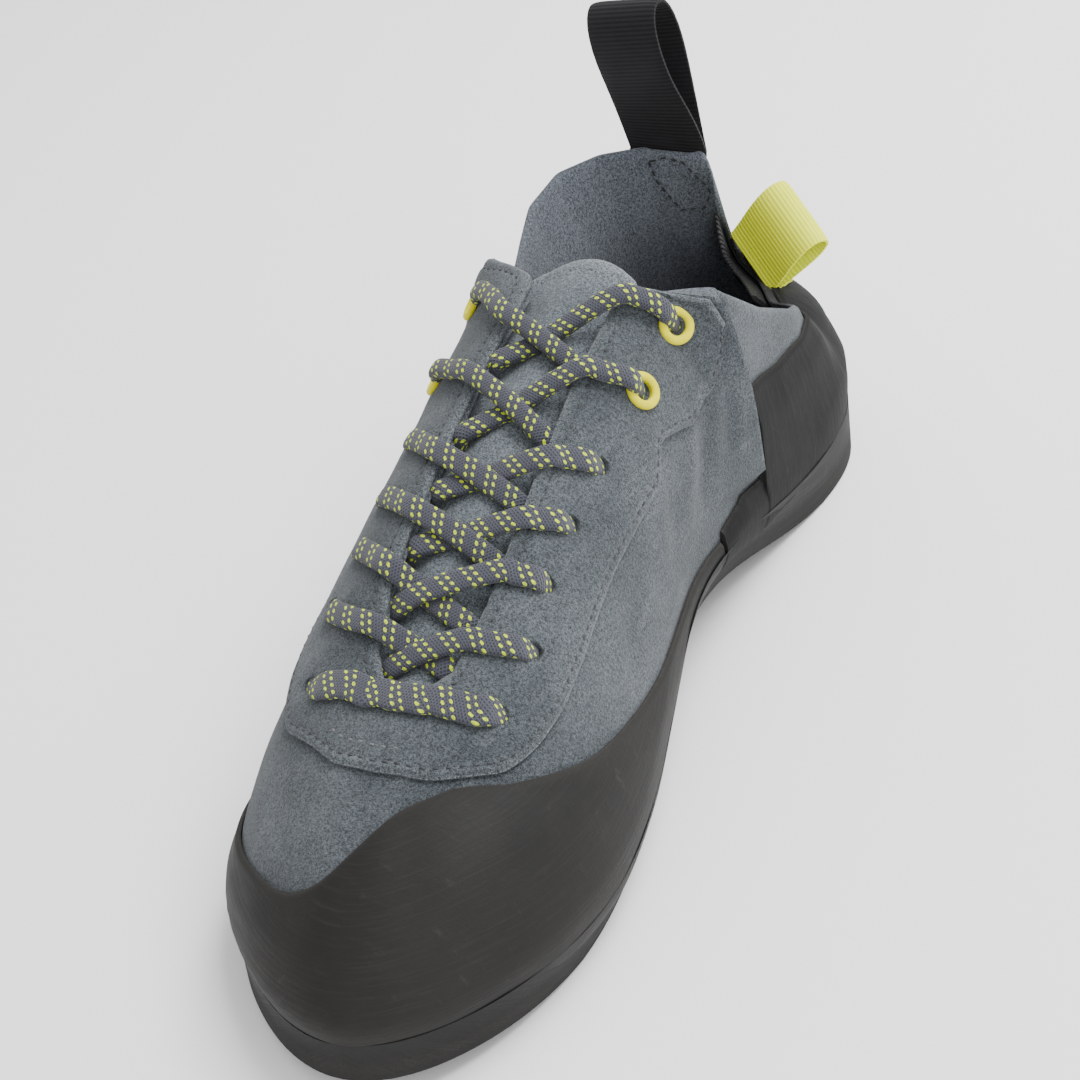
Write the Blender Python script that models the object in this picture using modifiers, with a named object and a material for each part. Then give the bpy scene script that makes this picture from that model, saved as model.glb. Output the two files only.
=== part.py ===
"""A right climbing shoe: suede upper on a rubber rand and sole, laced to the toe, with webbing pull loops.

Metres, +Z up. The toe points to -Y, the wearer's inner side is +X, and the origin lies on the floor
under the middle of the shoe. Every shell is cut from one function, last_skin, which gives the outside
of the last from a short table of stations round the foot.
"""
import math

import bmesh
import bpy
import numpy as np
from mathutils import Matrix, Vector

# Driving sizes
LENGTH = 0.255
BALL_WIDTH = 0.094
HEEL_WIDTH = 0.066
INSTEP_HEIGHT = 0.090
COLLAR_HEIGHT = 0.086
WIDE_HEIGHT = 0.0135
TUCK = 0.005
ARCH_RISE = 0.011
TOE_SPRING = 0.005
SOLE_THICKNESS = 0.0042
SOLE_EDGE = 0.0030
SOLE_LIP = 0.0008
SOLE_BEVEL = 0.0008
RUBBER = 0.0020
RUBBER_SKIVE = 0.0010
UPPER_WALL = 0.0018
QUARTER_STEP = 0.0030
EYESTAY_THICKNESS = 0.0014
INSOLE_THICKNESS = 0.0040
TONGUE_THICKNESS = 0.0030
TONGUE_CROWN = 0.0010
TONGUE_RISE = 0.0110
ELASTIC_THICKNESS = 0.0012
ELASTIC_RISE = 0.0045
LACE_WIDTH = 0.0055
LACE_THICKNESS = 0.0020
LACE_BAR_WIDTH = 0.0070
LACE_INSET = 0.0025
PUNCHED_HOLE = 0.0044
EYELET_BORE = 0.0046
EYELET_BARREL = 0.0056
EYELET_FLANGE = 0.0086
EYELET_LIP = 0.0008
WEBBING_WIDTH = 0.020
WEBBING_THICKNESS = 0.0014
SIDE_LOOP_LENGTH = 0.042
SIDE_LOOP_SPREAD = 0.020
SIDE_LOOP_TAB = 0.010
BACK_LOOP_LENGTH = 0.0225
BACK_LOOP_SPREAD = 0.014
BACK_LOOP_TAB = 0.006
BACK_LOOP_RISE = 0.004
BACK_LOOP_TURN = math.radians(40)

# Ways that the loops reach and their folds run, and where the loops are sewn: station, half the seam in
# stations, and how far up the skin.
SIDE_LOOP_LEAN = (-0.265, 0.180, 0.948)
SIDE_LOOP_FOLD = (-0.963, -0.106, -0.248)
SIDE_LOOP_SEAT = (10.75, 0.25, 0.98)
BACK_LOOP_LEAN = (0.55, 0.71, 0.44)
BACK_LOOP_FOLD = (-0.57, 0.26, 0.78)
BACK_LOOP_SEAT = (9.10, 0.50, 1.0)

# Clearances
FIT_GAP = 0.0003
INSOLE_CLEARANCE = 0.0005
EYELET_CLEARANCE = 0.0003
ROLL_CLEARANCE = 0.0012
FLANGE_CLEARANCE = 0.0007
TONGUE_SEAT = 0.0008
TONGUE_CLEARANCE = 0.0022
LOOP_CLEARANCE = 0.0016
SEAM_GAP = 0.015

# One row a station round the last, from the toe tip by the inner side to the heel and back by the outer
# side. Shares of half the ball width, half the heel width, half the length, the wide height, the tuck,
# the arch rise and the toe spring, how full the side is, how far it cups as a share of half the heel
# width, and how far the sole stands out as a share of its edge.
STATIONS = (
    # name, ball, heel, along, wide, tuck, arch, spring, full, cup, edge
    ("toe_tip",        0.10,  0.00, -0.978, 0.55, 0.70, 0.00, 1.00, 0.50, 0.00, 0.85),
    ("toe_medial",     0.50,  0.00, -0.880, 0.60, 0.75, 0.00, 0.75, 0.52, 0.00, 0.35),
    ("joint_medial",   0.75,  0.00, -0.690, 0.80, 0.80, 0.00, 0.10, 0.60, 0.00, -0.60),
    ("ball_medial",    0.80,  0.00, -0.470, 0.90, 0.80, 0.00, -0.05, 0.62, 0.00, -1.10),
    ("vamp_medial",    0.69,  0.00, -0.205, 1.10, 1.00, 0.35, 0.00, 0.62, 0.00, -1.40),
    ("waist_medial",   0.565, 0.00,  0.065, 1.00, 1.10, 1.00, 0.00, 0.72, 0.10, -1.50),
    ("shank_medial",   0.00,  0.82,  0.298, 0.95, 1.10, 0.85, 0.00, 0.75, 0.06, -1.30),
    ("ankle_medial",   0.00,  0.89,  0.533, 1.20, 1.00, 0.15, 0.00, 0.10, 0.00, -0.50),
    ("heel_medial",    0.00,  0.92,  0.760, 1.45, 1.00, -0.04, 0.00, 0.10, 0.00, 0.20),
    ("back_medial",    0.00,  0.62,  0.930, 1.60, 1.00, -0.02, 0.00, 0.10, 0.09, 0.30),
    ("heel_back",      0.00,  0.00,  0.982, 1.60, 1.00, -0.02, 0.00, 0.10, 0.00, 0.40),
    ("back_lateral",   0.00, -0.62,  0.930, 1.60, 1.00, -0.02, 0.00, 0.10, -0.06, 0.40),
    ("heel_lateral",   0.00, -0.95,  0.760, 1.45, 1.00, -0.04, 0.00, 0.10, -0.06, 0.30),
    ("ankle_lateral",  0.00, -0.99,  0.533, 1.25, 1.00, 0.00, 0.00, 0.10, -0.06, 0.20),
    ("shank_lateral",  0.00, -1.04,  0.298, 1.15, 1.00, 0.20, 0.00, 0.80, 0.16, -0.20),
    ("waist_lateral", -0.82,  0.00,  0.065, 1.00, 1.00, 0.22, 0.00, 0.80, 0.16, -0.20),
    ("vamp_lateral",  -0.93,  0.00, -0.205, 0.85, 1.00, 0.05, 0.00, 0.72, 0.08, 0.20),
    ("ball_lateral",  -0.99,  0.00, -0.455, 0.78, 0.80, 0.00, -0.05, 0.65, 0.03, 0.50),
    ("joint_lateral", -0.88,  0.00, -0.706, 0.70, 0.80, 0.00, 0.05, 0.62, 0.00, 0.80),
    ("toe_lateral",   -0.40,  0.00, -0.908, 0.60, 0.75, 0.00, 0.70, 0.55, 0.00, 1.00),
)
TURN = float(len(STATIONS))
WIDEST_AT = 0.2

# The edge of the throat: shares of half the ball width, half the length and the instep height.
THROAT_EDGE = (
    # station, across, along, rise
    (14.30, -0.27, 0.270, 1.000),
    (15.00, -0.28, 0.047, 0.933),
    (16.00, -0.28, -0.173, 0.833),
    (17.00, -0.28, -0.361, 0.728),
    (18.00, -0.23, -0.478, 0.633),
    (19.00, -0.15, -0.525, 0.603),
    (0.00, -0.05, -0.533, 0.600),
    (1.00, 0.06, -0.525, 0.603),
    (2.00, 0.15, -0.486, 0.617),
    (3.00, 0.18, -0.361, 0.683),
    (4.00, 0.18, -0.173, 0.800),
    (5.00, 0.18, 0.047, 0.917),
    (5.75, 0.20, 0.259, 0.994),
)

# The edge of the collar: shares of half the heel width, half the length and the collar height.
COLLAR_EDGE = (
    # station, across, along, rise
    (6.35, 0.88, 0.330, 1.000),
    (7.00, 0.92, 0.470, 0.826),
    (7.60, 0.91, 0.612, 0.698),
    (8.00, 0.82, 0.698, 0.640),
    (8.30, 0.52, 0.753, 0.580),
    (9.00, 0.27, 0.850, 0.550),
    (10.00, -0.06, 0.905, 0.575),
    (10.30, -0.18, 0.922, 0.907),
    (11.00, -0.61, 0.894, 0.983),
    (11.60, -0.91, 0.839, 0.994),
    (12.20, -1.12, 0.745, 1.000),
    (12.80, -1.20, 0.643, 0.965),
    (13.20, -1.16, 0.557, 0.907),
    (13.60, -1.06, 0.455, 0.860),
    (13.85, -0.86, 0.361, 1.012),
)
EDGE_SOFTNESS = 0.06

# The top edge of each rubber piece: station, and how far up the skin it reaches.
TOE_RAND_TOP = (
    # station, up
    (-5.70, 0.230),
    (-3.00, 0.240),
    (-2.30, 0.290),
    (-1.60, 0.370),
    (-1.21, 0.425),
    (-0.72, 0.455),
    (-0.28, 0.560),
    (0.20, 0.685),
    (1.00, 0.725),
    (1.69, 0.680),
    (2.54, 0.520),
    (3.00, 0.430),
    (3.56, 0.320),
    (3.90, 0.255),
    (4.40, 0.180),
    (5.60, 0.160),
)
HEEL_RAND_TOP = (
    # station, up
    (5.60, 0.160),
    (5.75, 0.228),
    (6.36, 0.230),
    (6.40, 0.530),
    (7.00, 0.690),
    (7.50, 0.770),
    (8.00, 0.830),
    (8.35, 0.850),
    (9.67, 0.850),
    (10.00, 0.740),
    (10.33, 0.600),
    (10.67, 0.480),
    (11.00, 0.420),
    (12.00, 0.360),
    (13.60, 0.340),
    (13.64, 0.230),
    (14.30, 0.230),
)

# The lower edge of the eyestay, as stations before and after the toe and how far up the skin it lies.
EYESTAY_EDGE = (
    # station, up
    (-6.28, 0.830),
    (-6.10, 0.640),
    (-5.85, 0.540),
    (-5.50, 0.515),
    (-5.09, 0.600),
    (-4.85, 0.540),
    (-4.00, 0.560),
    (-3.20, 0.580),
    (-2.40, 0.620),
    (-1.80, 0.690),
    (-1.20, 0.740),
    (-0.37, 0.812),
    (0.37, 0.803),
    (1.10, 0.750),
    (1.77, 0.689),
    (2.20, 0.627),
    (2.66, 0.610),
    (3.44, 0.586),
    (4.00, 0.570),
    (4.85, 0.530),
    (5.09, 0.600),
    (5.50, 0.515),
    (5.85, 0.540),
    (6.10, 0.640),
    (6.28, 0.830),
)

# Lace places on the inner side, from the toe, and the stations of their partners on the outer side.
LACE_PLACES = (
    # inner station, inner up, outer station, outer up
    (2.25, 0.770, 17.75, 0.750),
    (3.00, 0.770, 16.90, 0.730),
    (3.51, 0.800, 16.40, 0.750),
    (4.04, 0.787, 15.95, 0.760),
    (4.54, 0.770, 15.45, 0.760),
    (5.20, 0.750, 14.90, 0.760),
    (5.82, 0.770, 14.20, 0.770),
)
PUNCHED_PAIRS = 5

# The bar's way from the first outer hole, past the throat's end, to the first inner hole. Stations below
# zero lie on the outer side.
LACE_BAR_LINE = np.array([
    # station, up
    (-2.25, 0.750),
    (-1.83, 0.863),
    (-1.39, 0.924),
    (-0.58, 0.965),
    (0.40, 0.965),
    (1.18, 0.944),
    (1.69, 0.889),
    (2.04, 0.828),
    (2.25, 0.770),
])

# Stations at which each pair of strands meets the throat's edges, from the toe. A strand comes up inside
# the throat at its start and crosses the other edge on its way to the next hole.
LACE_EDGES = (
    # inner start, outer start, inner crossing, outer crossing
    (2.00, 18.50, 2.39, 17.72),
    (2.61, 17.42, 3.24, 16.96),
    (3.34, 16.72, 3.73, 16.40),
    (3.90, 16.17, 4.28, 15.85),
    (4.47, 15.64, 5.03, 15.13),
    (5.11, 14.95, 5.58, 14.65),
)

# The tongue's rows: station, how far up its middle and its tucked sides follow the skin, and the share
# of its clearance by which it hangs clear. Its first rows are sewn under the vamp.
TONGUE_ROWS = (
    # station, middle, side, drop
    (0.90, 0.860, 0.780, 0.00),
    (1.40, 0.930, 0.800, 0.15),
    (1.90, 1.000, 0.820, 0.60),
    (2.60, 1.000, 0.820, 1.00),
    (3.30, 1.000, 0.820, 1.00),
    (4.00, 1.000, 0.820, 1.00),
    (4.70, 1.000, 0.820, 1.00),
    (5.30, 1.000, 0.820, 1.00),
    (5.70, 1.000, 0.820, 1.00),
)
TONGUE_BRIDGE = (0.25, 0.5, 0.75)

# Where each quarter's step starts, ends at its free edge, and rises above the rubber.
QUARTER_START = 5.50
QUARTER_EDGE = 6.33
QUARTER_LOW = (0.235, 0.270)

# The stations that the heel's stretch panel spans.
ELASTIC_SPAN = (8.35, 10.00)

# Columns of the shells' grid over half the turn, closer round the toe, the quarter's edge and the heel.
HALF_COLUMNS = np.array([
    0, 0.33, 0.67, 1.00, 1.33, 1.67, 2.00, 2.50, 3.00, 3.50, 4.00, 4.50, 5.00, 5.50, 5.85, 6.10, 6.28, 6.33,
    6.36, 6.40, 6.70, 7.00, 7.50, 8.00, 8.35, 8.67, 9.00, 9.33, 9.67, 9.85, 10.00])
COLUMNS = np.concatenate([HALF_COLUMNS, TURN - HALF_COLUMNS[-2:0:-1]])
SKIN_ROWS = np.array([0.0, 0.05, 0.10, 0.20, 0.235, 0.27, 0.40, 0.55, 0.70, 0.85, 1.0])
SOLE_ROWS = np.array([0.0, 0.05, 0.10])


def closed_spline(values, at):
    """The smooth closed curve through equally spaced rows, read at the stations in at."""
    count = len(values)
    rows = np.arange(count)
    system = np.zeros((count, count))
    system[rows, rows] = 4.0
    system[rows, (rows + 1) % count] = 1.0
    system[rows, (rows - 1) % count] = 1.0
    bends = np.roll(values, -1, 0) - 2.0 * values + np.roll(values, 1, 0)
    second = np.linalg.solve(system, 6.0 * bends)
    place = np.mod(at, count)
    low = np.floor(place).astype(int) % count
    high = (low + 1) % count
    part = (place - np.floor(place))[:, None]
    rest = 1.0 - part
    straight = rest * values[low] + part * values[high]
    bend = (rest ** 3 - rest) * second[low] + (part ** 3 - part) * second[high]
    return straight + bend / 6.0


def station_values(at):
    """The widest line, feather height, tuck, fullness, cup and sole edge at the stations in at."""
    table = np.array([row[1:] for row in STATIONS])
    ball, heel, along, wide, tuck, arch, spring, full, cup, edge = closed_spline(table, at).T
    feather = SOLE_THICKNESS + RUBBER + 2 * FIT_GAP + arch * ARCH_RISE + spring * TOE_SPRING
    across = ball * BALL_WIDTH / 2 + heel * HEEL_WIDTH / 2
    widest = np.stack([across, along * LENGTH / 2, feather + wide * WIDE_HEIGHT], 1)
    return widest, feather, tuck * TUCK, full, cup * HEEL_WIDTH / 2, edge * SOLE_EDGE


def edge_point(at):
    """The throat and collar edge, with its corners softened by a short weighted mean."""
    throat_scale = (1.0, BALL_WIDTH / 2, LENGTH / 2, INSTEP_HEIGHT)
    collar_scale = (1.0, HEEL_WIDTH / 2, LENGTH / 2, COLLAR_HEIGHT)
    rows = np.concatenate([np.array(THROAT_EDGE) * throat_scale, np.array(COLLAR_EDGE) * collar_scale])
    rows = rows[np.argsort(rows[:, 0])]
    knots = np.concatenate([rows[:, 0] - TURN, rows[:, 0], rows[:, 0] + TURN])
    columns = np.tile(rows[:, 1:], (3, 1))
    mean = 0.0
    total = 0.0
    for step in np.linspace(-2, 2, 9):
        weight = math.exp(-step * step / 1.2)
        place = np.mod(at, TURN) + step * EDGE_SOFTNESS
        mean = mean + weight * np.stack([np.interp(place, knots, columns[:, k]) for k in range(3)], 1)
        total += weight
    return mean / total


def plan_normal(at):
    """The outward direction in plan at the stations in at."""
    step = 0.01
    run = (station_values(at + step)[0] - station_values(at - step)[0])[:, :2]
    run = run / np.linalg.norm(run, axis=1, keepdims=True)
    return np.stack([run[:, 1], -run[:, 0], np.zeros(len(run))], 1)


def last_skin(at, up):
    """The outside of the last: at counts stations, up runs from 0 at the feather line to 1 at the edge."""
    at, up = np.broadcast_arrays(np.asarray(at, float), np.asarray(up, float))
    shape = at.shape
    at = at.ravel()
    up = up.ravel()
    widest, feather, tuck, full, cup = station_values(at)[:5]
    outward = plan_normal(at)
    edge = edge_point(at)
    turn = np.clip(up / WIDEST_AT, 0, 1) * math.pi / 2
    under = widest - outward * (tuck * (1 - np.sin(turn)))[:, None]
    under[:, 2] = feather + (widest[:, 2] - feather) * (1 - np.cos(turn))
    rise = np.clip((up - WIDEST_AT) / (1 - WIDEST_AT), 0, 1)
    inward = (1 - full) * rise + full * (1 - np.cos(rise * math.pi / 2))
    upward = (1 - full) * rise + full * np.sin(rise * math.pi / 2)
    share = np.stack([inward, inward, upward], 1)
    over = widest + share * (edge - widest) + outward * (cup * np.sin(math.pi * rise))[:, None]
    return np.where((up < WIDEST_AT)[:, None], under, over).reshape(shape + (3,))


def skin_normal(at, up):
    """The outward direction of the last's skin, from two short steps along it."""
    at, up = np.broadcast_arrays(np.asarray(at, float), np.asarray(up, float))
    step = 0.004
    round_step = last_skin(at + 4 * step, up) - last_skin(at - 4 * step, up)
    up_step = last_skin(at, np.minimum(up + step, 1)) - last_skin(at, np.maximum(up - step, 0))
    normal = np.cross(round_step, up_step)
    return normal / np.linalg.norm(normal, axis=-1, keepdims=True)


def offset_skin(at, up, out):
    """The last's skin moved outwards by out."""
    return last_skin(at, up) + skin_normal(at, up) * np.asarray(out, float)[..., None]


def unit(vector):
    """A vector, or each row of an array, at length 1."""
    vector = np.asarray(vector, float)
    return vector / np.linalg.norm(vector, axis=-1, keepdims=True)


def make_material(name, colour, roughness, metallic=0.0):
    material = bpy.data.materials.new(name)
    material.use_nodes = True
    shader = material.node_tree.nodes["Principled BSDF"]
    shader.inputs["Base Color"].default_value = (*colour, 1.0)
    shader.inputs["Roughness"].default_value = roughness
    shader.inputs["Metallic"].default_value = metallic
    return material


def add_object(name, points, faces, material, collection):
    """A mesh object of merged points and faces, shaded smooth but for its sharp edges."""
    mesh = bpy.data.meshes.new(name)
    mesh.from_pydata([tuple(point) for point in points], [], faces)
    work = bmesh.new()
    work.from_mesh(mesh)
    bmesh.ops.remove_doubles(work, verts=work.verts, dist=1e-6)
    work.to_mesh(mesh)
    work.free()
    if material:
        mesh.materials.append(material)
    mesh.shade_smooth()
    mesh.set_sharp_from_angle(angle=math.radians(40))
    item = bpy.data.objects.new(name, mesh)
    collection.objects.link(item)
    return item


def shell_faces(columns, rows, wrap):
    """Faces of an outer grid, an inner grid turned over and the walls along their open edges."""
    count = columns * rows
    spans = columns if wrap else columns - 1
    faces = []
    for i in range(spans):
        j = (i + 1) % columns
        for k in range(rows - 1):
            low = (i * rows + k, j * rows + k, j * rows + k + 1)
            high = (i * rows + k, j * rows + k + 1, i * rows + k + 1)
            for face in (low, high):
                faces.append(face)
                faces.append(tuple(count + corner for corner in reversed(face)))
        bottom = (i * rows, j * rows)
        top = (j * rows + rows - 1, i * rows + rows - 1)
        for start, end in (bottom, top):
            faces.append((end, start, count + start, count + end))
    if not wrap:
        last = (columns - 1) * rows
        for k in range(rows - 1):
            faces.append((k, k + 1, count + k + 1, count + k))
            faces.append((last + k + 1, last + k, count + last + k, count + last + k + 1))
    return faces


def shell_from_grids(name, outer, inner, material, collection, wrap=False):
    """One closed shell between two grids of points."""
    columns, rows = outer.shape[:2]
    points = np.concatenate([outer.reshape(-1, 3), inner.reshape(-1, 3)])
    return add_object(name, points, shell_faces(columns, rows, wrap), material, collection)


def cap_faces(loop, other, points):
    """Strips across a closed loop, from each point to its partner on the far side of the shoe."""
    count = len(loop)
    half = count // 2
    strips = 3
    rows = []
    for j in range(1, half):
        first = points[loop[j]]
        last = points[loop[count - j]]
        row = [loop[j]]
        for k in range(1, strips):
            points.append(first + (last - first) * k / strips)
            row.append(len(points) - 1)
        row.append(loop[count - j])
        rows.append(row)
    faces = []
    for near, far in zip(rows[:-1], rows[1:]):
        for k in range(strips):
            faces.append((near[k + 1], near[k], far[k]))
            faces.append((near[k + 1], far[k], far[k + 1]))
    for k in range(strips):
        faces.append((loop[0], rows[0][k], rows[0][k + 1]))
        faces.append((loop[half], rows[-1][k + 1], rows[-1][k]))
    return [tuple(reversed(face)) for face in faces] if other else faces


def plate_from_loops(name, loops, material, collection):
    """One closed plate from loops of points, from the inside of its top to the inside of its bottom."""
    count = len(loops[0])
    points = [point for loop in loops for point in loop]
    faces = []
    for k in range(len(loops) - 1):
        high = k * count
        low = high + count
        for i in range(count):
            j = (i + 1) % count
            faces.append((low + i, low + j, high + i))
            faces.append((low + j, high + j, high + i))
    last = (len(loops) - 1) * count
    faces += cap_faces(list(range(count)), False, points)
    faces += cap_faces(list(range(last, last + count)), True, points)
    return add_object(name, points, faces, material, collection)


def skin_columns(start, end):
    """The grid's columns between two stations, with both ends."""
    spread = np.concatenate([COLUMNS - TURN, COLUMNS])
    inside = spread[(spread > start + 1e-6) & (spread < end - 1e-6)]
    return np.concatenate([[start], inside, [end]])


def band_grid(start, end, line, above):
    """The grid's columns between two stations, with its rows held below, or above, a line."""
    knots = np.array(line)
    columns = skin_columns(start, end)
    limit = np.interp(columns, knots[:, 0], knots[:, 1])[:, None]
    rows = np.maximum(SKIN_ROWS, limit) if above else np.minimum(SKIN_ROWS, limit)
    return np.broadcast_to(columns[:, None], rows.shape), rows


def quarter_step(at, up):
    """How far the wall stands out where each quarter laps the heel rubber."""
    along = np.minimum(at, TURN - at)
    ramp = np.clip((along - QUARTER_START) / (QUARTER_EDGE - QUARTER_START), 0, 1) * (along < QUARTER_EDGE + 1e-6)
    low, high = QUARTER_LOW
    raised = np.clip((up - low) / (high - low), 0, 1)
    return QUARTER_STEP * ramp * raised


def make_upper(material, collection):
    at = np.broadcast_to(COLUMNS[:, None], (len(COLUMNS), len(SKIN_ROWS)))
    up = np.broadcast_to(SKIN_ROWS, at.shape)
    outer = offset_skin(at, up, quarter_step(at, up))
    inner = offset_skin(at, up, np.full(at.shape, -UPPER_WALL))
    return shell_from_grids("upper", outer, inner, material, collection, wrap=True)


def make_rand(name, line, material, collection):
    """A rubber band from the feather line to its top edge, where it is skived thinner."""
    at, up = band_grid(line[0][0] + SEAM_GAP, line[-1][0] - SEAM_GAP, line, above=False)
    top = up[:, -1:]
    skive = np.clip((up - 0.7 * top) / (0.3 * top), 0, 1)
    thick = RUBBER - (RUBBER - RUBBER_SKIVE) * skive
    inner = offset_skin(at, up, np.full(at.shape, FIT_GAP))
    outer = offset_skin(at, up, FIT_GAP + thick)
    return shell_from_grids(name, outer, inner, material, collection)


def make_eyestay(material, collection):
    at, up = band_grid(EYESTAY_EDGE[0][0], EYESTAY_EDGE[-1][0], EYESTAY_EDGE, above=True)
    seat = quarter_step(np.mod(at, TURN), up) + FIT_GAP
    inner = offset_skin(at, up, seat)
    outer = offset_skin(at, up, seat + EYESTAY_THICKNESS)
    return shell_from_grids("eyestay", outer, inner, material, collection)


def make_outsole(material, collection):
    """The sole's loops: inside the feather line, up round the tucked rand, and down its bevelled edge."""
    values = station_values(COLUMNS)
    widest, feather, edge = values[0], values[1], values[5]
    outward = plan_normal(COLUMNS)
    seat = RUBBER + 2 * FIT_GAP
    flat = feather - seat
    bottom = np.maximum(flat - SOLE_THICKNESS, 0.0)
    inside = last_skin(COLUMNS, 0.0) - outward * INSOLE_CLEARANCE
    inside[:, 2] = flat
    loops = [inside]
    for up in SOLE_ROWS:
        loops.append(offset_skin(COLUMNS, up, np.full(len(COLUMNS), seat)))
    rim = offset_skin(COLUMNS, SOLE_ROWS[-1], np.full(len(COLUMNS), seat + SOLE_LIP))
    loops.append(rim)
    for out, rise in ((0.0, SOLE_BEVEL), (-SOLE_BEVEL, 0.0), (-TUCK, 0.0)):
        loop = widest + outward * (edge + out)[:, None]
        loop[:, 2] = bottom + rise
        loops.append(loop)
    return plate_from_loops("outsole", loops, material, collection)


def make_insole(material, collection):
    """A board inside the feather line, flat on the sole."""
    feather = station_values(COLUMNS)[1]
    edge = last_skin(COLUMNS, 0.0) - plan_normal(COLUMNS) * INSOLE_CLEARANCE
    low = edge.copy()
    low[:, 2] = feather - RUBBER - FIT_GAP
    high = low.copy()
    high[:, 2] += INSOLE_THICKNESS
    return plate_from_loops("insole", [high, low], material, collection)


def tongue_grid(thickness):
    """The tongue's face at a depth in its thickness: tucked sides, and a low crown across the throat."""
    share = np.array(TONGUE_BRIDGE)[:, None]
    rows = []
    for station, middle, side, drop in TONGUE_ROWS:
        depth = UPPER_WALL + TONGUE_SEAT + drop * (TONGUE_CLEARANCE - TONGUE_SEAT) + thickness
        tucked = np.array([side, (side + middle) / 2, middle])
        inner_side = offset_skin(np.full(3, station), tucked, np.full(3, -depth))
        outer_side = offset_skin(np.full(3, TURN - station), tucked[::-1], np.full(3, -depth))
        first = inner_side[-1]
        last = outer_side[0]
        across = last - first
        raised = unit(skin_normal(station, middle) + skin_normal(TURN - station, middle))
        bridge = first + share * across + 4 * share * (1 - share) * TONGUE_CROWN * raised
        rows.append(np.concatenate([inner_side, bridge, outer_side]))
    grid = np.array(rows)
    onward = unit(grid[-1] - grid[-2])
    ends = [grid[-1] + onward * TONGUE_RISE / 2, grid[-1] + onward * TONGUE_RISE]
    return np.concatenate([grid, np.array(ends)])


def make_tongue(material, collection):
    return shell_from_grids("tongue", tongue_grid(0.0), tongue_grid(TONGUE_THICKNESS), material, collection)


def make_elastic(material, collection):
    """A stretch band inside the back of the collar, standing a little above the upper's edge."""
    at = skin_columns(*ELASTIC_SPAN)
    seat = UPPER_WALL + FIT_GAP
    grids = []
    for depth in (seat, seat + ELASTIC_THICKNESS):
        rows = [offset_skin(at, np.full(len(at), up), np.full(len(at), -depth)) for up in SKIN_ROWS[-3:]]
        rows.append(rows[-1] + unit(rows[-1] - rows[-2]) * ELASTIC_RISE)
        grids.append(np.stack(rows, 1))
    return shell_from_grids("heel_elastic", grids[0], grids[1], material, collection)


def smooth_path(points, count):
    """A curve through the points, each stretch a cubic that leaves and arrives along its neighbours."""
    points = np.array(points)
    ends = np.concatenate([[2 * points[0] - points[1]], points, [2 * points[-1] - points[-2]]])
    place = np.linspace(0, len(points) - 1, count)
    low = np.minimum(place.astype(int), len(points) - 2)
    t = (place - low)[:, None]
    a, b, c, d = (ends[low + k] for k in range(4))
    return b + 0.5 * t * (c - a + t * (2 * a - 5 * b + 4 * c - d + t * (3 * (b - c) + d - a)))


def strap(name, path, faces_up, width, thickness, material, collection):
    """A flat lace: a rounded section of eight points carried along a path."""
    sides = 8
    angle = (np.arange(sides) + 0.5) * 2 * math.pi / sides
    run = unit(np.gradient(path, axis=0))
    across = unit(np.cross(run, faces_up))
    lift = np.cross(across, run)
    wide = np.cos(angle) / math.cos(math.pi / sides) * width / 2
    tall = np.sin(angle) / math.sin(math.pi / 2 - math.pi / sides) * thickness / 2
    rings = path[:, None] + across[:, None] * wide[None, :, None] + lift[:, None] * tall[None, :, None]
    count = len(path)
    faces = [tuple(range(sides)), tuple(reversed(range((count - 1) * sides, count * sides)))]
    for i in range(count - 1):
        for k in range(sides):
            m = (k + 1) % sides
            faces.append((i * sides + k, (i + 1) * sides + k, (i + 1) * sides + m, i * sides + m))
    return add_object(name, rings.reshape(-1, 3), faces, material, collection)


def lace_over(index, side):
    """Where a lace lies over its hole and over the throat's edge beside it, with the skin's direction."""
    place = LACE_PLACES[index]
    station, up = place[0:2] if side == "inner" else place[2:4]
    seat = FIT_GAP * 3 + EYESTAY_THICKNESS + LACE_THICKNESS / 2
    if index >= PUNCHED_PAIRS:
        seat = eyelet_seat(index, side) + EYELET_LIP + FIT_GAP + LACE_THICKNESS / 2
    steps = np.array([up, (1 + up) / 2, 1.0])
    crossing = LACE_EDGES[index - 1][2 if side == "inner" else 3]
    at = np.array([station, (station + crossing) / 2, crossing])
    lift = seat + quarter_step(at, steps) + np.array([0.0, 0.3, 0.5]) * LACE_THICKNESS
    return offset_skin(at, steps, lift), skin_normal(at, steps)


def throat_start(index, side):
    """Where a lace comes up beside the throat's edge, just inside it and level with the upper's wall."""
    inner, outer = LACE_EDGES[index][0:2]
    here, there = (inner, outer) if side == "inner" else (outer, inner)
    edge = last_skin(np.array([here]), 1.0)[0]
    far = last_skin(np.array([there]), 1.0)[0]
    return edge + unit(far - edge) * LACE_INSET - np.array([0.0, 0.0, UPPER_WALL / 4])


def lace_strand(name, index, start_side, end_side, material, collection):
    """A lace from inside the throat on one side, up across it and over the flap to the next hole."""
    over, normals = lace_over(index + 1, end_side)
    start = throat_start(index, start_side)
    middle = start + (over[2] - start) * 0.5 + normals[2] * LACE_THICKNESS * 0.25
    path = smooth_path([start, middle, over[2], over[1], over[0]], 8)
    share = np.linspace(0, 1, len(path))[:, None]
    faces_up = unit(np.array([0.0, -0.5, 0.86]) * (1 - share) + normals[0] * share)
    return strap(name, path, faces_up, LACE_WIDTH, LACE_THICKNESS, material, collection)


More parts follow.
